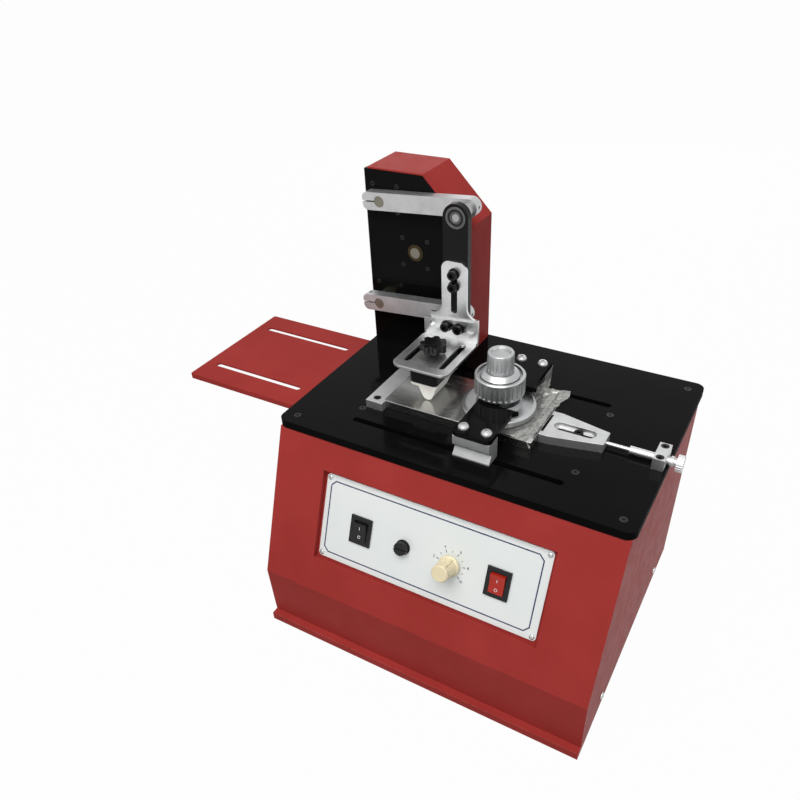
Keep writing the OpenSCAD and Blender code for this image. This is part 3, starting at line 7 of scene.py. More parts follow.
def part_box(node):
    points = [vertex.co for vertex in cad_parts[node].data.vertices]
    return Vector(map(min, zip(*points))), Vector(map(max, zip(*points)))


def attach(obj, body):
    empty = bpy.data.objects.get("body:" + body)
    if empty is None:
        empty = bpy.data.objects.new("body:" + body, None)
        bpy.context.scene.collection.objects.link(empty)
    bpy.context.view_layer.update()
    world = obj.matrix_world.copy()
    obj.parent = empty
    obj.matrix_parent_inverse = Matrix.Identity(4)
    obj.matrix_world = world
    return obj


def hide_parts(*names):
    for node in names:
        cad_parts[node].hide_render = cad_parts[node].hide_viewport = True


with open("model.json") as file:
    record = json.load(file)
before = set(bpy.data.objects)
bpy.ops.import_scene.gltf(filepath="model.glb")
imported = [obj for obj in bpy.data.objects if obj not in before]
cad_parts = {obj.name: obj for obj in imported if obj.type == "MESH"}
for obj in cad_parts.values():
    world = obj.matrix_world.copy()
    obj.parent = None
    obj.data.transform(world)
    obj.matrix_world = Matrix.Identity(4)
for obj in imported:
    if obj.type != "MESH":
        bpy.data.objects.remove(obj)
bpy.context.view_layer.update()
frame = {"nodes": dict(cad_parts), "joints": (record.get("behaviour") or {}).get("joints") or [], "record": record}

# Studio.
# The machine stands on a white bench under soft lamps, in a white room that paint and metal mirror.
# The camera stands in front of its right corner and looks down at it, as the photographer did.
scene = bpy.context.scene
scene.view_settings.view_transform = "Standard"


def stood_at(place, right, up, out):
    """Matrix that stands a piece's own x, y and z along three directions at a place."""
    return Matrix.Translation(place) @ Matrix((right, up, out)).transposed().to_4x4()


eye = bpy.data.cameras.new("photo_camera")
eye.sensor_width = 36.0
eye.lens = 33.17
eye.shift_x = -0.0189
eye.shift_y = 0.0554
eye.clip_start = 0.01
camera = bpy.data.objects.new("photo_camera", eye)
scene.collection.objects.link(camera)
eye_place = Vector((0.26118, -0.56932, 0.6946))
eye_right = Vector((0.8696, 0.49251, -0.03491))
eye_top = Vector((-0.27434, 0.54074, 0.79519))
camera.matrix_world = stood_at(eye_place, eye_right, eye_top, eye_right.cross(eye_top))
scene.camera = camera


def soft_lamp(name, place, aim, size, watts, warmth):
    lamp = bpy.data.lights.new(name, "AREA")
    lamp.shape = "RECTANGLE"
    lamp.size, lamp.size_y = size
    lamp.energy = watts
    lamp.color = warmth
    holder = bpy.data.objects.new(name, lamp)
    holder.location = place
    holder.rotation_euler = (Vector(aim) - Vector(place)).to_track_quat("-Z", "Y").to_euler()
    scene.collection.objects.link(holder)


soft_lamp("ceiling_lamp", place=(0.10, -0.9, 1.7), aim=(-0.05, 0.0, 0.2), size=(1.5, 1.1),
          watts=30.0, warmth=(1.0, 0.985, 0.96))
soft_lamp("front_lamp", place=(0.5, -1.7, 0.95), aim=(0.0, 0.0, 0.25), size=(1.2, 0.9),
          watts=0.8, warmth=(1.0, 0.99, 0.97))
soft_lamp("rear_lamp", place=(-0.6, 1.8, 0.5), aim=(0.0, 0.1, 0.2), size=(1.4, 0.8),
          watts=5.5, warmth=(1.0, 0.99, 0.97))
soft_lamp("side_lamp", place=(1.9, 0.5, 0.9), aim=(0.0, 0.0, 0.2), size=(0.8, 1.0),
          watts=2.0, warmth=(0.97, 0.98, 1.0))


def seen_rays(tree):
    """One for rays from the camera, a mirror or clear glass, and nothing for the light itself."""
    path = tree.nodes.new("ShaderNodeLightPath")
    total = path.outputs["Is Camera Ray"]
    for ray in ("Is Glossy Ray", "Is Transmission Ray"):
        step = tree.nodes.new("ShaderNodeMath")
        step.operation = "MAXIMUM"
        tree.links.new(total, step.inputs[0])
        tree.links.new(path.outputs[ray], step.inputs[1])
        total = step.outputs[0]
    return total


room_light, room_white = 0.28, 1.0
room = bpy.data.worlds.new("white_room")
scene.world = room
room.use_nodes = True
room_tree = room.node_tree
room_tree.nodes.clear()
room_mix = room_tree.nodes.new("ShaderNodeMixShader")
for socket, strength in ((1, room_light), (2, room_white)):
    wall = room_tree.nodes.new("ShaderNodeBackground")
    wall.inputs["Color"].default_value = (1.0, 1.0, 1.0, 1.0)
    wall.inputs["Strength"].default_value = strength
    room_tree.links.new(wall.outputs[0], room_mix.inputs[socket])
room_out = room_tree.nodes.new("ShaderNodeOutputWorld")
room_tree.links.new(seen_rays(room_tree), room_mix.inputs["Fac"])
room_tree.links.new(room_mix.outputs[0], room_out.inputs["Surface"])

bench_size, bench_drop, bench_white_share = 14.0, 0.0005, 0.98
bpy.ops.object.select_all(action="DESELECT")
bpy.ops.mesh.primitive_plane_add(size=bench_size, location=(0.0, 0.0, -bench_drop))
bench = bpy.context.active_object
bench.name = "white_bench"
bench_paint = bpy.data.materials.new("white_bench")
bench_paint.use_nodes = True
bench_tree = bench_paint.node_tree
bench_face = bench_tree.nodes["Principled BSDF"]
bench_face.inputs["Base Color"].default_value = (0.34, 0.34, 0.34, 1.0)
bench_face.inputs["Roughness"].default_value = 0.7
bench_glow = bench_tree.nodes.new("ShaderNodeEmission")
bench_glow.inputs["Strength"].default_value = 1.0
bench_share = bench_tree.nodes.new("ShaderNodeMath")
bench_share.operation = "MULTIPLY"
bench_share.inputs[1].default_value = bench_white_share
bench_mix = bench_tree.nodes.new("ShaderNodeMixShader")
bench_out = bench_tree.nodes["Material Output"]
bench_tree.links.new(seen_rays(bench_tree), bench_share.inputs[0])
bench_tree.links.new(bench_share.outputs[0], bench_mix.inputs["Fac"])
bench_tree.links.new(bench_face.outputs[0], bench_mix.inputs[1])
bench_tree.links.new(bench_glow.outputs[0], bench_mix.inputs[2])
bench_tree.links.new(bench_mix.outputs[0], bench_out.inputs["Surface"])
bench.data.materials.append(bench_paint)

# Base pan, console body and rear cover.
# Steel sheet, folded and spot-welded, sprayed with red enamel; a paler red on the bevelled edges and folds is a
# painted highlight.
# The body is screwed down on the upturned pan; the vented rear cover is held by four screws.


def start_finish(name):
    finish = bpy.data.materials.new(name)
    finish.use_nodes = True
    tree = finish.node_tree
    return finish, tree, tree.nodes["Principled BSDF"]


def spread(tree, stretch=(1.0, 1.0, 1.0), centre=(0.0, 0.0, 0.0)):
    """Object coordinates in metres, from a centre and stretched."""
    coord = tree.nodes.new("ShaderNodeTexCoord")
    place = tree.nodes.new("ShaderNodeMapping")
    place.vector_type = "TEXTURE"
    place.inputs["Location"].default_value = centre
    place.inputs["Scale"].default_value = stretch
    tree.links.new(coord.outputs["Object"], place.inputs["Vector"])
    return place.outputs["Vector"]


def grain(tree, where, scale, detail=3.0, rough=0.55):
    speckle = tree.nodes.new("ShaderNodeTexNoise")
    speckle.inputs["Scale"].default_value = scale
    speckle.inputs["Detail"].default_value = detail
    speckle.inputs["Roughness"].default_value = rough
    tree.links.new(where, speckle.inputs["Vector"])
    return speckle.outputs["Fac"]


def between(tree, pattern, span, result):
    """Maps a span of a pattern to a span of roughness or colour share."""
    ramp = tree.nodes.new("ShaderNodeMapRange")
    for socket, number in zip(("From Min", "From Max", "To Min", "To Max"), (*span, *result)):
        ramp.inputs[socket].default_value = number
    tree.links.new(pattern, ramp.inputs["Value"])
    return ramp.outputs["Result"]


# A Mix node's colour sockets come after those for numbers and vectors.
mix_share, mix_first, mix_second, mix_result = 0, 6, 7, 2


def two_shades(tree, face, pattern, span, first, second):
    """Base colour that drifts from one shade to the other along a pattern."""
    mix = tree.nodes.new("ShaderNodeMix")
    mix.data_type = "RGBA"
    mix.inputs[mix_first].default_value = (*first, 1.0)
    mix.inputs[mix_second].default_value = (*second, 1.0)
    tree.links.new(between(tree, pattern, span, (0.0, 1.0)), mix.inputs[mix_share])
    tree.links.new(mix.outputs[mix_result], face.inputs["Base Color"])


def two_glosses(tree, face, pattern, span, roughness):
    """Roughness that drifts between two values along a pattern."""
    tree.links.new(between(tree, pattern, span, roughness), face.inputs["Roughness"])


def relief(tree, face, height, depth, strength):
    bump = tree.nodes.new("ShaderNodeBump")
    bump.inputs["Distance"].default_value = depth
    bump.inputs["Strength"].default_value = strength
    tree.links.new(height, bump.inputs["Height"])
    tree.links.new(bump.outputs["Normal"], face.inputs["Normal"])


def sprayed(name, colour, darker, rough, shine, peel):
    """Sprayed enamel: two close shades, orange peel and a few rubbed patches."""
    finish, tree, face = start_finish(name)
    where = spread(tree)
    two_shades(tree, face, grain(tree, where, scale=14.0), (0.35, 0.7), colour, darker)
    rubbed = grain(tree, where, scale=60.0, detail=5.0, rough=0.65)
    two_glosses(tree, face, rubbed, (0.4, 0.75), (rough, rough + 0.12))
    face.inputs["Specular IOR Level"].default_value = shine
    orange_peel = grain(tree, where, scale=700.0, detail=1.0)
    relief(tree, face, orange_peel, depth=0.00012, strength=peel)
    return finish


bodies = frame["record"]["behaviour"]["bodies"]
body_of_node = {node: body for body, group in bodies.items() for node in group}
merge_gap, level_within, smooth_within = 0.000004, math.radians(0.6), math.radians(40.0)


def edged(node, finish, radius, steps=2, sharp=32.0, edge_highlight=None):
    """Copy that stands for a solid, with its sharp edges broken and, where asked, a painted highlight in a paler
    finish on them.
    """
    bpy.ops.object.select_all(action="DESELECT")
    piece = frame["nodes"][node].copy()
    piece.data = frame["nodes"][node].data.copy()
    piece.name = node + "_edged"
    scene.collection.objects.link(piece)
    piece.parent = None
    piece.matrix_world = Matrix.Identity(4)
    bpy.context.view_layer.objects.active = piece
    piece.select_set(True)
    bpy.ops.object.mode_set(mode="EDIT")
    bpy.ops.mesh.select_all(action="SELECT")
    bpy.ops.mesh.remove_doubles(threshold=merge_gap)
    bpy.ops.mesh.dissolve_limited(angle_limit=level_within)
    bpy.ops.object.mode_set(mode="OBJECT")
    piece.data.materials.clear()
    piece.data.materials.append(finish)
    soften = piece.modifiers.new("broken_edge", "BEVEL")
    soften.width = radius
    soften.segments = steps
    soften.limit_method = "ANGLE"
    soften.angle_limit = math.radians(sharp)
    # The bevel faces take the second finish, a paler colour that paints a highlight along the edges.
    if edge_highlight:
        piece.data.materials.append(edge_highlight)
        soften.material = 1
    bpy.ops.object.modifier_apply(modifier="broken_edge")
    bpy.ops.object.shade_smooth_by_angle(angle=smooth_within)
    level = piece.modifiers.new("flat_faces", "WEIGHTED_NORMAL")
    level.keep_sharp = True
    level.weight = 100
    bpy.ops.object.modifier_apply(modifier="flat_faces")
    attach(piece, body_of_node[node])
    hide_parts(node)
    return piece


red_enamel = sprayed("red_enamel", (0.355, 0.041, 0.037), (0.31, 0.034, 0.030),
                     rough=0.38, shine=0.02, peel=0.06)
# A paler red for the bevelled edges: a painted highlight along the edges and folds.
red_edge_highlight = sprayed("red_edge_highlight", (0.60, 0.15, 0.13), (0.46, 0.09, 0.08),
                   rough=0.36, shine=0.05, peel=0.06)
edged("base_pan", red_enamel, 0.0009, edge_highlight=red_edge_highlight)
edged("body_shell", red_enamel, 0.0007, sharp=16.0, edge_highlight=red_edge_highlight)
edged("rear_cover", red_enamel, 0.0004)

# Feet, mains inlet and case screws.
# Turned rubber feet under the pan, a moulded black appliance inlet at the rear, zinc-plated screws.
# All are bought-in parts, pressed or screwed into the sheet.
along_x, along_y, along_z = (1, 0, 0), (0, 1, 0), (0, 0, 1)
line_length, line_width = 0.02, 0.00035


def moulded(name, colour, rough, tooth, shine=0.5):
    """Moulded plastic or rubber with a fine spark-eroded tooth."""
    finish, tree, face = start_finish(name)
    where = spread(tree)
    paler = tuple(min(1.0, c * 1.18 + 0.003) for c in colour)
    two_shades(tree, face, grain(tree, where, scale=45.0), (0.3, 0.75), colour, paler)
    handled = grain(tree, where, scale=190.0, detail=4.0)
    two_glosses(tree, face, handled, (0.3, 0.75), (rough, rough + 0.14))
    face.inputs["Specular IOR Level"].default_value = shine
    eroded = grain(tree, where, scale=2600.0, detail=1.0)
    relief(tree, face, eroded, depth=0.00006, strength=tooth)
    return finish


def milled(name, colour, rough, along, bite=0.25):
    """Cut or rolled metal with fine lines along one direction."""
    finish, tree, face = start_finish(name)
    stretch = tuple(line_length if run else line_width for run in along)
    lines = grain(tree, spread(tree, stretch), scale=1.0, detail=4.0, rough=0.6)
    cloud = grain(tree, spread(tree), scale=55.0)
    darker = tuple(c * 0.8 for c in colour)
    two_shades(tree, face, cloud, (0.3, 0.75), colour, darker)
    two_glosses(tree, face, lines, (0.25, 0.8), (rough, rough + 0.16))
    face.inputs["Metallic"].default_value = 1.0
    relief(tree, face, lines, depth=0.00005, strength=bite)
    return finish


foot_rubber = moulded("foot_rubber", (0.018, 0.018, 0.018), rough=0.62, tooth=0.5, shine=0.3)
inlet_plastic = moulded("inlet_plastic", (0.016, 0.016, 0.017), rough=0.42, tooth=0.35)
zinc_plate = milled("zinc_plate", (0.60, 0.61, 0.62), rough=0.26, along=along_z)
edged("rubber_feet", foot_rubber, 0.0006)
edged("mains_inlet", inlet_plastic, 0.0004)
edged("case_screws", zinc_plate, 0.00012)

# Drive inside the body and the tower.
# Gear motor, drive shaft, belt, pinions, and the rack with its slide blocks on two guide rods.
# Bare steel with a trace of oil, a moulded belt, and the green control board on its pillars.


def paint_node(node, finish):
    mesh = frame["nodes"][node].data
    mesh.materials.clear()
    mesh.materials.append(finish)


oiled_steel = milled("oiled_steel", (0.46, 0.46, 0.47), rough=0.34, along=along_x)
belt_rubber = moulded("belt_rubber", (0.014, 0.014, 0.014), rough=0.6, tooth=0.5, shine=0.3)
board_green = moulded("board_green", (0.015, 0.13, 0.06), rough=0.4, tooth=0.3)
for inner in ("gear_motor", "drive_shaft", "cup_rack", "carriage", "guide_rods", "inner_plate",
              "tower_spacers", "upper_pinion", "lower_pinion"):
    paint_node(inner, oiled_steel)
paint_node("drive_belt", belt_rubber)
paint_node("control_board", board_green)

# Table plate and its screws.
# A thick steel plate with two milled slots, sprayed black and polished to a mirror, its edges dull.
# Countersunk screws hold it to the body's flange, and hold the guide rods under it.
black_gloss = sprayed("black_gloss", (0.0034, 0.0034, 0.0035), (0.0048, 0.0048, 0.0050),
                      rough=0.06, shine=0.035, peel=0.03)
table_edge = sprayed("table_edge", (0.0032, 0.0032, 0.0033), (0.0046, 0.0046, 0.0048),
                     rough=0.5, shine=0.008, peel=0.12)
dark_screw = milled("dark_screw", (0.042, 0.042, 0.044), rough=0.32, along=along_z)
polished_from = 0.9
table = edged("table_plate", black_gloss, 0.0007)
table.data.materials.append(table_edge)
for facet in table.data.polygons:
    if abs(facet.normal.z) < polished_from:
        facet.material_index = 1
edged("table_screws", dark_screw, 0.00015)

# Control panel.
# A silver-white printed plate with a thin blue border, screwed into the sloped front's pocket.
# The speed scale's strokes and figures are printed in the same blue-black ink.
panel_print, panel_tree, panel_face = start_finish("panel_print")
panel_where = spread(panel_tree)
panel_cloud = grain(panel_tree, panel_where, scale=9.0)
panel_sparkle = grain(panel_tree, panel_where, scale=3200.0, detail=1.0)
two_shades(panel_tree, panel_face, panel_cloud, (0.3, 0.7),
           (0.745, 0.79, 0.79), (0.785, 0.815, 0.812))
two_glosses(panel_tree, panel_face, panel_sparkle, (0.3, 0.7), (0.34, 0.48))
panel_face.inputs["Metallic"].default_value = 0.12
relief(panel_tree, panel_face, panel_sparkle, depth=0.00004, strength=0.15)
edged("control_panel", panel_print, 0.0003)

joint_at = {joint["name"]: joint for joint in frame["joints"]}
speed_joint = joint_at["speed_turn"]
speed_mark, speed_rise = Vector((0.027, -0.003)), 0.006
panel_right = Vector((1.0, 0.0, 0.0))
panel_out = Vector(speed_joint["axis"]).normalized()
panel_up = Vector((0.0, panel_out.z, -panel_out.y))
speed_face = Vector(speed_joint["pos_m"]) - panel_out * speed_rise
panel_mid = speed_face - panel_right * speed_mark.x - panel_up * speed_mark.y


def on_panel(x, y, lift):
    """Place on the panel's face: x to the right, y up the slope, lift out of it."""
    here = panel_mid + panel_right * x + panel_up * y + panel_out * lift
    return stood_at(here, panel_right, panel_up, panel_out)


def started(add, **sizes):
    """Adds a primitive with nothing else selected, and opens it for editing, all of it selected."""
    bpy.ops.object.select_all(action="DESELECT")
    add(**sizes)
    bpy.ops.object.mode_set(mode="EDIT")
    bpy.ops.mesh.select_all(action="SELECT")
    return bpy.context.active_object


def closed_up():
    """Turns the faces of the piece in hand outwards and ends its editing."""
    bpy.ops.mesh.select_all(action="SELECT")
    bpy.ops.mesh.normals_make_consistent(inside=False)
    bpy.ops.object.mode_set(mode="OBJECT")


def raised(thick):
    """Gives the flat outline in hand a thickness and closes it up."""
    bpy.ops.mesh.select_all(action="SELECT")
    bpy.ops.mesh.extrude_region_move(TRANSFORM_OT_translate={"value": (0.0, 0.0, thick)})
    closed_up()


def flat_bar(width, length, thick):
    bar = started(bpy.ops.mesh.primitive_plane_add, size=1.0)
    bpy.ops.transform.resize(value=(width, length, 1.0))
    raised(thick)
    return bar


def put(piece, place):
    """Moves the piece in hand to a place and puts that place into its mesh."""
    piece.matrix_world = place
    bpy.ops.object.transform_apply(location=True, rotation=True, scale=True)


def settle(piece, name, place, finish, body):
    """Gives a finished piece its name, place and finish, and lets it ride on its body."""
    piece.name = name
    piece.data.name = name
    bpy.ops.object.select_all(action="DESELECT")
    piece.select_set(True)
    bpy.context.view_layer.objects.active = piece
    put(piece, place @ piece.matrix_world)
    piece.data.materials.clear()
    piece.data.materials.append(finish)
    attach(piece, body)


def joined(pieces):
    bpy.ops.object.select_all(action="DESELECT")
    for piece in pieces:
        piece.select_set(True)
    bpy.context.view_layer.objects.active = pieces[0]
    bpy.ops.object.join()
    return bpy.context.active_object


def printed(name, colour):
    """Screen-printed ink, a little uneven in density."""
    finish, tree, face = start_finish(name)
    where = spread(tree)
    thin = tuple(c * 1.6 + 0.02 for c in colour)
    two_shades(tree, face, grain(tree, where, scale=500.0), (0.45, 0.85), colour, thin)
    two_glosses(tree, face, grain(tree, where, scale=900.0), (0.3, 0.7), (0.45, 0.6))
    return finish


blue_ink = printed("blue_ink", (0.012, 0.018, 0.075))
ink_t, ink_lift = 0.00012, 0.00002
border_w, border_h, border_cut, border_line, border_x = 0.237, 0.0825, 0.0055, 0.0013, -0.0012
border = started(bpy.ops.mesh.primitive_plane_add, size=1.0)
bpy.ops.transform.resize(value=(border_w, border_h, 1.0))
bpy.ops.mesh.bevel(offset=border_cut, segments=1, affect="VERTICES")
bpy.ops.mesh.select_all(action="SELECT")
bpy.ops.mesh.inset(thickness=border_line, depth=0.0)
bpy.ops.mesh.delete(type="FACE")
raised(ink_t)
settle(border, "panel_border", on_panel(border_x, 0.0, ink_lift), blue_ink, "frame")

scale_r, scale_steps = 0.0145, 10
scale_from, scale_to = math.radians(-135.0), math.radians(135.0)
main_stroke, small_stroke = (0.0007, 0.003), (0.0005, 0.0018)
figure_h, figure_t, figure_lift, figure_r = 0.0042, 0.00005, 0.00006, scale_r + 0.0045
strokes = []
for step in range(scale_steps + 1):
    angle = scale_from + (scale_to - scale_from) * step / scale_steps
    width, length = small_stroke if step % 2 else main_stroke
    stroke = flat_bar(width, length, ink_t)
    put(stroke, Matrix.Rotation(-angle, 4, "Z") @ Matrix.Translation((0.0, scale_r, 0.0)))
    strokes.append(stroke)
    if step % 2:
        continue
    bpy.ops.object.select_all(action="DESELECT")
    bpy.ops.object.text_add()
    letter = bpy.context.active_object.data
    letter.body = str(step)
    letter.size = figure_h
    letter.align_x = "CENTER"
    letter.align_y = "CENTER"
    letter.extrude = figure_t
    letter.resolution_u = 3
    bpy.ops.object.convert(target="MESH")
    figure = bpy.context.active_object
    put(figure, Matrix.Translation((
        math.sin(angle) * figure_r, math.cos(angle) * figure_r, figure_lift)))
    strokes.append(figure)
settle(joined(strokes), "speed_scale", on_panel(speed_mark.x, speed_mark.y, ink_lift), blue_ink,
       "frame")

# Rocker switches.
# Two snap-in rockers with moulded black bezels, the left one black and the right one red.
# They carry the usual stroke and ring, printed in white.
switch_black = moulded("switch_black", (0.008, 0.008, 0.0084), rough=0.28, tooth=0.2, shine=0.24)
rocker_red = moulded("rocker_red", (0.36, 0.018, 0.009), rough=0.22, tooth=0.08, shine=0.3)
mark_white = printed("mark_white", (0.72, 0.72, 0.70))
edged("switch_frames", switch_black, 0.0006)
edged("left_rocker", switch_black, 0.0005)
edged("right_rocker", rocker_red, 0.0005)
rocker_tilt, rocker_half, rocker_rise, mark_lift = math.radians(7.0), 0.010, 0.0054, 0.00003
stroke_w, stroke_l, stroke_y = 0.0007, 0.0034, 0.0042
ring_outer, ring_inner, ring_t, ring_y = 0.0017, 0.00125, 0.0001, -0.0058


def flat_ring(outer, inner, thick):
    """A thin ring in the XY plane, as printed on a switch or pressed into a bearing."""
    ring = started(bpy.ops.mesh.primitive_circle_add, vertices=48, radius=outer, fill_type="NGON")
    bpy.ops.mesh.inset(thickness=outer - inner, depth=0.0)
    bpy.ops.mesh.delete(type="FACE")
    raised(thick)
    return ring


def on_rocker(joint, y):
    """Place on a rocker's face, y from its pivot up the paddle."""
    slope = rocker_tilt if y > 0 else -rocker_tilt
    height = rocker_rise - (rocker_half - abs(y)) * math.tan(rocker_tilt) + mark_lift
    upright = stood_at(Vector(joint_at[joint]["pos_m"]), panel_right, panel_up, panel_out)
    paddle = upright @ Matrix.Rotation(rocker_tilt, 4, "X")
    return paddle @ Matrix.Translation((0.0, y, height)) @ Matrix.Rotation(slope, 4, "X")


for joint, body, slot in (("power_rock", "power_rocker", "black_plastic"),
                          ("run_rock", "run_rocker", "red_plastic")):
    settle(flat_bar(stroke_w, stroke_l, ink_t), body + "_stroke", on_rocker(joint, stroke_y),
           mark_white, body)
    settle(flat_ring(ring_outer, ring_inner, ring_t), body + "_ring", on_rocker(joint, ring_y),
           mark_white, body)

# Fuse holder.
# A black moulded socket, held from behind by its nut.
# The slotted cap screws into it and carries the fuse.
edged("fuse_socket", switch_black, 0.0004)
edged("fuse_cap", switch_black, 0.0003)

# Speed control and its knob.
# A cream plastic knob, moulded with a skirt, fine flutes round its grip and a pointer on one side.
# It is pushed on the steel shaft of the control behind the panel.
bright_steel = milled("bright_steel", (0.74, 0.745, 0.75), rough=0.24, along=along_x, bite=0.03)
knob_cream = moulded("knob_cream", (0.72, 0.64, 0.43), rough=0.36, tooth=0.15)
paint_node("speed_control", bright_steel)

knob_foot_r, knob_grip_r, knob_lift, knob_sides = 0.011, 0.00945, 0.0033, 96
knob_profile = ((0.0015, knob_foot_r), (0.003, 0.0095), (0.0042, knob_grip_r), (0.0195, 0.0088),
                (0.021, 0.0087), (0.022, 0.0077))
flute_low, flute_high, flute_depth, flute_sides = 0.004, 0.0205, 0.00045, 4
flute_cuts = ((1.0, 2), (0.65, 1), (0.65, 3))  # share of the depth, and which of a flute's sides
pointer_w, pointer_reach, pointer_from, pointer_top = 0.003, 0.0105, 0.003, 0.0205
pointer_edge, pointer_turn = 0.0005, math.radians(-20.0)
knob_smooth = math.radians(24.0)
knob_mid = (0.0, 0.0, 0.0)
knob = started(bpy.ops.mesh.primitive_circle_add, vertices=knob_sides, radius=knob_foot_r,
               fill_type="NGON")
bpy.ops.mesh.select_mode(type="VERT")
bpy.ops.mesh.select_all(action="SELECT")
here_z, here_r = 0.0, knob_foot_r
for next_z, next_r in knob_profile:
    bpy.ops.mesh.extrude_region_move(TRANSFORM_OT_translate={"value": (0.0, 0.0, next_z - here_z)})
    widen = next_r / here_r
    bpy.ops.transform.resize(value=(widen, widen, 1.0), center_override=knob_mid)
    here_z, here_r = next_z, next_r
for share, side in flute_cuts:
    bpy.ops.mesh.select_all(action="DESELECT")
    bpy.ops.object.mode_set(mode="OBJECT")
    for point in knob.data.vertices:
        turn = round(math.atan2(point.co.y, point.co.x) / math.tau * knob_sides)
        point.select = flute_low < point.co.z < flute_high and turn % flute_sides == side
    bpy.ops.object.mode_set(mode="EDIT")
    narrow = 1.0 - share * flute_depth / knob_grip_r
    bpy.ops.transform.resize(value=(narrow, narrow, 1.0), center_override=knob_mid)
closed_up()
pointer = flat_bar(pointer_w, pointer_reach, pointer_top - pointer_from)
bpy.ops.object.mode_set(mode="EDIT")
bpy.ops.mesh.select_all(action="SELECT")
bpy.ops.mesh.bevel(offset=pointer_edge, segments=2, affect="EDGES")
bpy.ops.object.mode_set(mode="OBJECT")
pointer_place = Matrix.Translation((0.0, pointer_reach / 2, pointer_from))
put(pointer, Matrix.Rotation(pointer_turn, 4, "Z") @ pointer_place)
bpy.ops.object.select_all(action="DESELECT")
knob.select_set(True)
bpy.context.view_layer.objects.active = knob
weld = knob.modifiers.new("pointer", "BOOLEAN")
weld.operation = "UNION"
weld.solver = "EXACT"
weld.object = pointer
bpy.ops.object.modifier_apply(modifier="pointer")
bpy.data.objects.remove(pointer)
bpy.ops.object.shade_smooth_by_angle(angle=knob_smooth)
settle(knob, "speed_knob_fluted", on_panel(speed_mark.x, speed_mark.y, knob_lift), knob_cream,
       body_of_node["speed_knob"])
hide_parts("speed_knob")

# Worktable.
# A sheet of red-enamelled steel, its rim turned down, with two slots cut through for fixture bolts.
# Two hexagon bolts through its slotted flange hold it at any height on the body's left wall.
edged("worktable", red_enamel, 0.0008)
edged("worktable_bolts", zinc_plate, 0.0003)

# Tower.
# A black lacquered front plate carries the shafts and stands out beyond the folded red cover.
# Plain bronze bushes hold the three shafts.
bush_bronze = milled("bush_bronze", (0.058, 0.045, 0.024), rough=0.30, along=along_y)
shaft_steel = milled("shaft_steel", (0.235, 0.222, 0.178), rough=0.28, along=along_y)
edged("tower_plate", black_gloss, 0.0005)
edged("tower_cover", red_enamel, 0.0006)
edged("tower_screws", dark_screw, 0.0002)
edged("shaft_bushes", bush_bronze, 0.0003)
edged("sync_gear", shaft_steel, 0.0002)

# Swing arms.
# Two milled aluminium bars, each clamped on its shaft by a slit end with a cross screw.
# Ground steel pins in the far ends carry the link.
arm_alloy = milled("arm_alloy", (0.55, 0.555, 0.56), rough=0.38, along=along_x)
pin_steel = milled("pin_steel", (0.42, 0.42, 0.425), rough=0.24, along=along_y)
for arm in ("upper_arm", "lower_arm"):
    edged(arm, arm_alloy, 0.0005)
for shaft in ("upper_shaft", "lower_shaft"):
    edged(shaft, shaft_steel, 0.0004)
for pin in ("upper_pin", "lower_pin"):
    edged(pin, pin_steel, 0.0004)

# Pad head.
# A black link bar with a ball bearing in each end, and bright bent-steel brackets with slots.
# A star knob draws the black board up against the lower bracket.
link_black = sprayed("link_black", (0.006, 0.006, 0.0064), (0.009, 0.009, 0.0095),
                     rough=0.24, shine=0.10, peel=0.06)
bearing_steel = milled("bearing_steel", (0.14, 0.14, 0.143), rough=0.26, along=along_y)
bolt_black = milled("bolt_black", (0.024, 0.024, 0.025), rough=0.26, along=along_y)
knob_black = moulded("knob_black", (0.004, 0.004, 0.0043), rough=0.18, tooth=0.08, shine=0.25)
board_black = moulded("board_black", (0.007, 0.007, 0.007), rough=0.30, tooth=0.15, shine=0.18)
edged("link_bar", link_black, 0.0008)
edged("link_bearings", bearing_steel, 0.0003)
edged("height_bracket", bright_steel, 0.0005)
edged("pad_bracket", bright_steel, 0.0006)
edged("head_bolts", bolt_black, 0.0004)
edged("pad_board", board_black, 0.0006)
edged("pad_knob", knob_black, 0.0009, steps=3)

# Bearing seals.
# A black rubber seal closes each ball bearing in front, between its outer and its inner ring.
# It is pressed into the sunk face between them.
seal_rubber = moulded("seal_rubber", (0.008, 0.008, 0.008), rough=0.45, tooth=0.3, shine=0.25)
seal_outer, seal_inner, seal_t, seal_sink = 0.0085, 0.0061, 0.0003, 0.00058
bearing_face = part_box("link_bearings")[0][1]
upper_pivot = Vector(joint_at["head_level"]["pos_m"])
pivot_gap = joint_at["arm_swing"]["pos_m"][2] - joint_at["lower_arm_swing"]["pos_m"][2]
for name, height in (("upper_seal", upper_pivot.z), ("lower_seal", upper_pivot.z - pivot_gap)):
    centre = Matrix.Translation((upper_pivot.x, bearing_face + seal_sink, height))
    settle(flat_ring(seal_outer, seal_inner, seal_t), name,
           centre @ Matrix.Rotation(math.pi / 2, 4, "X"), seal_rubber, "pad_head")

# Silicone pad.
# A cream wedge of soft silicone rubber, cast in a mould, with a rounded ridge that takes the ink.
# It is bonded to the board, is solid all through, and gives under the stroke.
pad_silicone, silicone_tree, silicone_face = start_finish("pad_silicone")
silicone_where = spread(silicone_tree)
silicone_cloud = grain(silicone_tree, silicone_where, scale=60.0)
silicone_wear = grain(silicone_tree, silicone_where, scale=300.0)
silicone_skin = grain(silicone_tree, silicone_where, scale=1500.0, detail=1.0)
two_shades(silicone_tree, silicone_face, silicone_cloud, (0.3, 0.7),
           (0.88, 0.875, 0.83), (0.84, 0.83, 0.775))
two_glosses(silicone_tree, silicone_face, silicone_wear, (0.3, 0.7), (0.36, 0.5))
silicone_face.inputs["Subsurface Weight"].default_value = 0.25
silicone_face.inputs["Subsurface Radius"].default_value = (0.004, 0.003, 0.002)
silicone_face.inputs["Subsurface Scale"].default_value = 0.5
relief(silicone_tree, silicone_face, silicone_skin, depth=0.00005, strength=0.15)
pad = edged("print_pad", pad_silicone, 0.0014, steps=4, sharp=12.0)

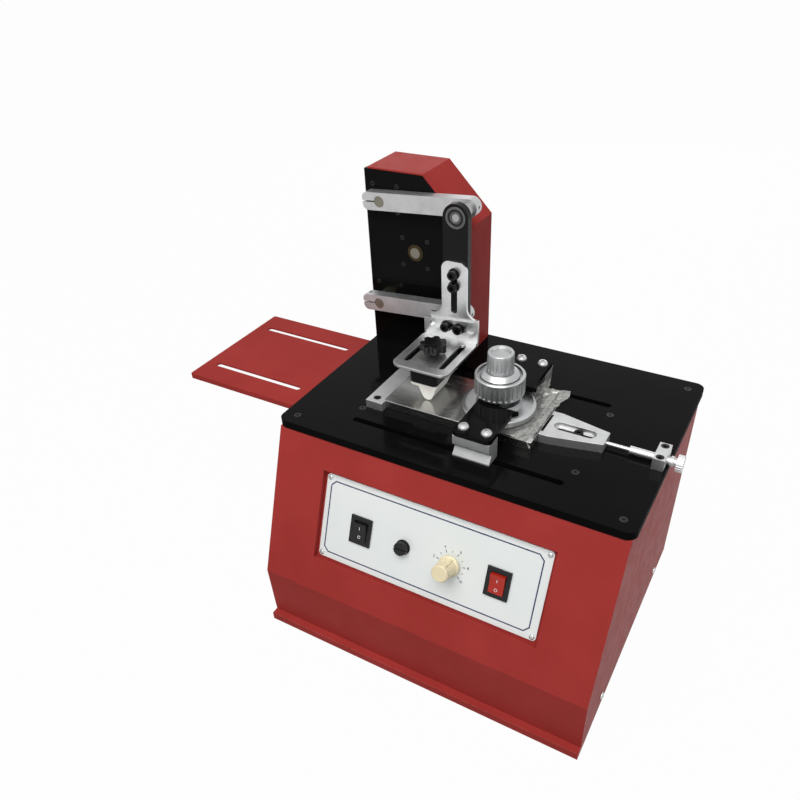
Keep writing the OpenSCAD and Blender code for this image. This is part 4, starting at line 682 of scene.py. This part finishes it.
# Ink plate and clamp.
# An etched steel plate, held between a stop bar and a forked wedge of milled aluminium.
# A rod in a block behind the wedge draws it back and presses it home.
etched_steel = milled("etched_steel", (0.56, 0.56, 0.55), rough=0.16, along=along_x, bite=0.3)
clamp_alloy = milled("clamp_alloy", (0.62, 0.625, 0.63), rough=0.36, along=along_y)
edged("ink_plate", etched_steel, 0.0004)
edged("stop_bar", clamp_alloy, 0.0005)
edged("plate_clamp", clamp_alloy, 0.0005)
edged("clamp_screw", bolt_black, 0.0004)
edged("plate_rod", clamp_alloy, 0.0004)
edged("rod_block", clamp_alloy, 0.0004)

# Film on the ink plate's right end.
# A strip of grey protective film, peeled back by hand: pressed flat under the cup's flange, creased
# beside it, turned down over the plate's front corner, and torn to a stiff upright point behind.
plate_low, plate_high = (Vector(corner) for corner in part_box("ink_plate"))
cup_low, cup_high = (Vector(corner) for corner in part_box("cup_body"))
cup_mid = (cup_low + cup_high) / 2
flange_r = (cup_high.x - cup_low.x) / 2
film_t, film_bed = 0.00012, plate_high.z + 0.00003
film_left, film_right = plate_high.x - 0.036, plate_high.x - 0.0008
film_front, film_rear = plate_low.y - 0.0004, plate_high.y + 0.012
left_flare, left_flare_y = 0.2, 0.03
right_flare, right_flare_y = 0.30, 0.034
tear_depth, tears_per_m = 0.0016, 420.0
fan_spread, fan_mid = 0.5, 0.4
pressed_gap, free_gap = 0.0006, 0.007
crease_rise, rear_rise = 0.0026, 0.30
corner_across, corner_along = (0.84, 1.0), (-0.10, -0.01)
corner_drop, corner_out = 0.0065, 0.0012
folds, fold_sharp = ((42.0, 0.5), (95.0, 0.3), (210.0, 0.2)), 3.0


def eased(value, low, high):
    share = min(1.0, max(0.0, (value - low) / (high - low)))
    return share * share * (3.0 - 2.0 * share)


def creases(x, y):
    """Height of the film's sharp folds, from nothing to about one."""
    height = 0.0
    for folds_per_m, share in folds:
        wander = noise.noise(Vector((x * folds_per_m, y * folds_per_m, folds_per_m)))
        height += share * max(0.0, 1.0 - fold_sharp * abs(wander))
    return height


def film_place(across, along):
    """Place of a point of the strip, from its share of the width and of the length."""
    y = film_front + (film_rear - film_front) * along
    past_plate = max(0.0, y - plate_high.y)
    past_flare = max(0.0, y - right_flare_y)
    left = film_left + left_flare * max(0.0, y - left_flare_y)
    right = film_right + right_flare * past_flare + tear_depth * math.sin(past_flare * tears_per_m)
    x = left + (right - left) * across
    y += past_plate * fan_spread * (across - fan_mid)
    free = eased(math.hypot(x - cup_mid.x, y - cup_mid.y) - flange_r, pressed_gap, free_gap)
    z = film_bed + free * (crease_rise * creases(x, y) + rear_rise * past_plate)
    corner = eased(across, *corner_across) * eased(-along, *corner_along)
    return Vector((x, y - corner * corner_out, z - corner * corner_drop))


def film_grid(columns, rows):
    bpy.ops.object.select_all(action="DESELECT")
    bpy.ops.mesh.primitive_grid_add(x_subdivisions=columns, y_subdivisions=rows, size=1.0)
    return bpy.context.active_object


strip = film_grid(56, 130)
for point in strip.data.vertices:
    point.co = film_place(point.co.x + 0.5, point.co.y + 0.5)

point_from, point_to, point_tip_w = 0.02, 0.36, 0.0006
point_tip = plate_high + Vector((-0.0155, 0.0115, 0.034))
point_bow_x, point_bow_y, point_bow_mid = 0.004, 0.003, 0.35
torn_point = film_grid(14, 30)
for point in torn_point.data.vertices:
    across, rise = point.co.x + 0.5, point.co.y + 0.5
    foot = film_place(point_from + (point_to - point_from) * across, 1.0)
    tip = point_tip + Vector(((across - 0.5) * point_tip_w, 0.0, 0.0))
    bow = math.sin(rise * math.pi)
    here = foot.lerp(tip, rise)
    here.x += point_bow_x * bow * (1.0 - across)
    here.y += point_bow_y * bow * (across - point_bow_mid)
    point.co = here

film_merge, film_smooth = 0.00002, math.radians(14.0)
film = joined([strip, torn_point])
bpy.ops.object.mode_set(mode="EDIT")
bpy.ops.mesh.select_all(action="SELECT")
bpy.ops.mesh.remove_doubles(threshold=film_merge)
bpy.ops.object.mode_set(mode="OBJECT")
thicken = film.modifiers.new("film_thickness", "SOLIDIFY")
thicken.thickness = film_t
thicken.offset = 1.0
bpy.ops.object.modifier_apply(modifier="film_thickness")
bpy.ops.object.shade_smooth_by_angle(angle=film_smooth)

grey_film, film_tree, film_face = start_finish("grey_film")
film_where = spread(film_tree)
film_cloud = grain(film_tree, film_where, scale=220.0, detail=5.0, rough=0.7)
film_wear = grain(film_tree, film_where, scale=900.0)
film_crumple = grain(film_tree, film_where, scale=420.0, detail=4.0)
two_shades(film_tree, film_face, film_cloud, (0.35, 0.7), (0.20, 0.20, 0.195), (0.45, 0.45, 0.435))
two_glosses(film_tree, film_face, film_wear, (0.3, 0.7), (0.22, 0.42))
film_face.inputs["Metallic"].default_value = 0.5
film_face.inputs["Specular IOR Level"].default_value = 0.5
relief(film_tree, film_face, film_crumple, depth=0.0003, strength=0.45)
settle(film, "peeled_film", Matrix.Identity(4), grey_film, "frame")

# Ink cup, bridge and feet.
# Turned and knurled aluminium, clear anodised, gripped at the neck by a black bridge plate.
# The bridge is bolted to two grooved feet that ride in the table's slots.
cup_axis, cup_ring_pitch, waves_per_m = (cup_mid.x, cup_mid.y, 0.0), 0.0006, 20.0


def turned(name, colour, rough, centre, pitch):
    """Metal from the lathe, with rings round an upright axis."""
    finish, tree, face = start_finish(name)
    rings = tree.nodes.new("ShaderNodeTexWave")
    rings.wave_type = "RINGS"
    rings.rings_direction = "Z"
    rings.inputs["Scale"].default_value = 1.0 / pitch / waves_per_m
    rings.inputs["Distortion"].default_value = 0.6
    tree.links.new(spread(tree, centre=centre), rings.inputs["Vector"])
    cloud = grain(tree, spread(tree), scale=70.0, detail=4.0)
    darker = tuple(c * 0.82 for c in colour)
    two_shades(tree, face, cloud, (0.3, 0.75), colour, darker)
    two_glosses(tree, face, rings.outputs["Fac"], (0.0, 1.0), (rough, rough + 0.1))
    face.inputs["Metallic"].default_value = 1.0
    relief(tree, face, rings.outputs["Fac"], depth=0.00003, strength=0.3)
    return finish


cup_alloy = turned("cup_alloy", (0.50, 0.51, 0.515), 0.30, cup_axis, cup_ring_pitch)
foot_alloy = milled("foot_alloy", (0.34, 0.345, 0.35), rough=0.52, along=along_x)
edged("cup_body", cup_alloy, 0.0004)
edged("cup_ring", cup_alloy, 0.0004)
edged("cup_knob", cup_alloy, 0.0004)
edged("bridge_plate", black_gloss, 0.0005)
edged("bridge_bolts", arm_alloy, 0.0003)
edged("bridge_feet", foot_alloy, 0.0005)
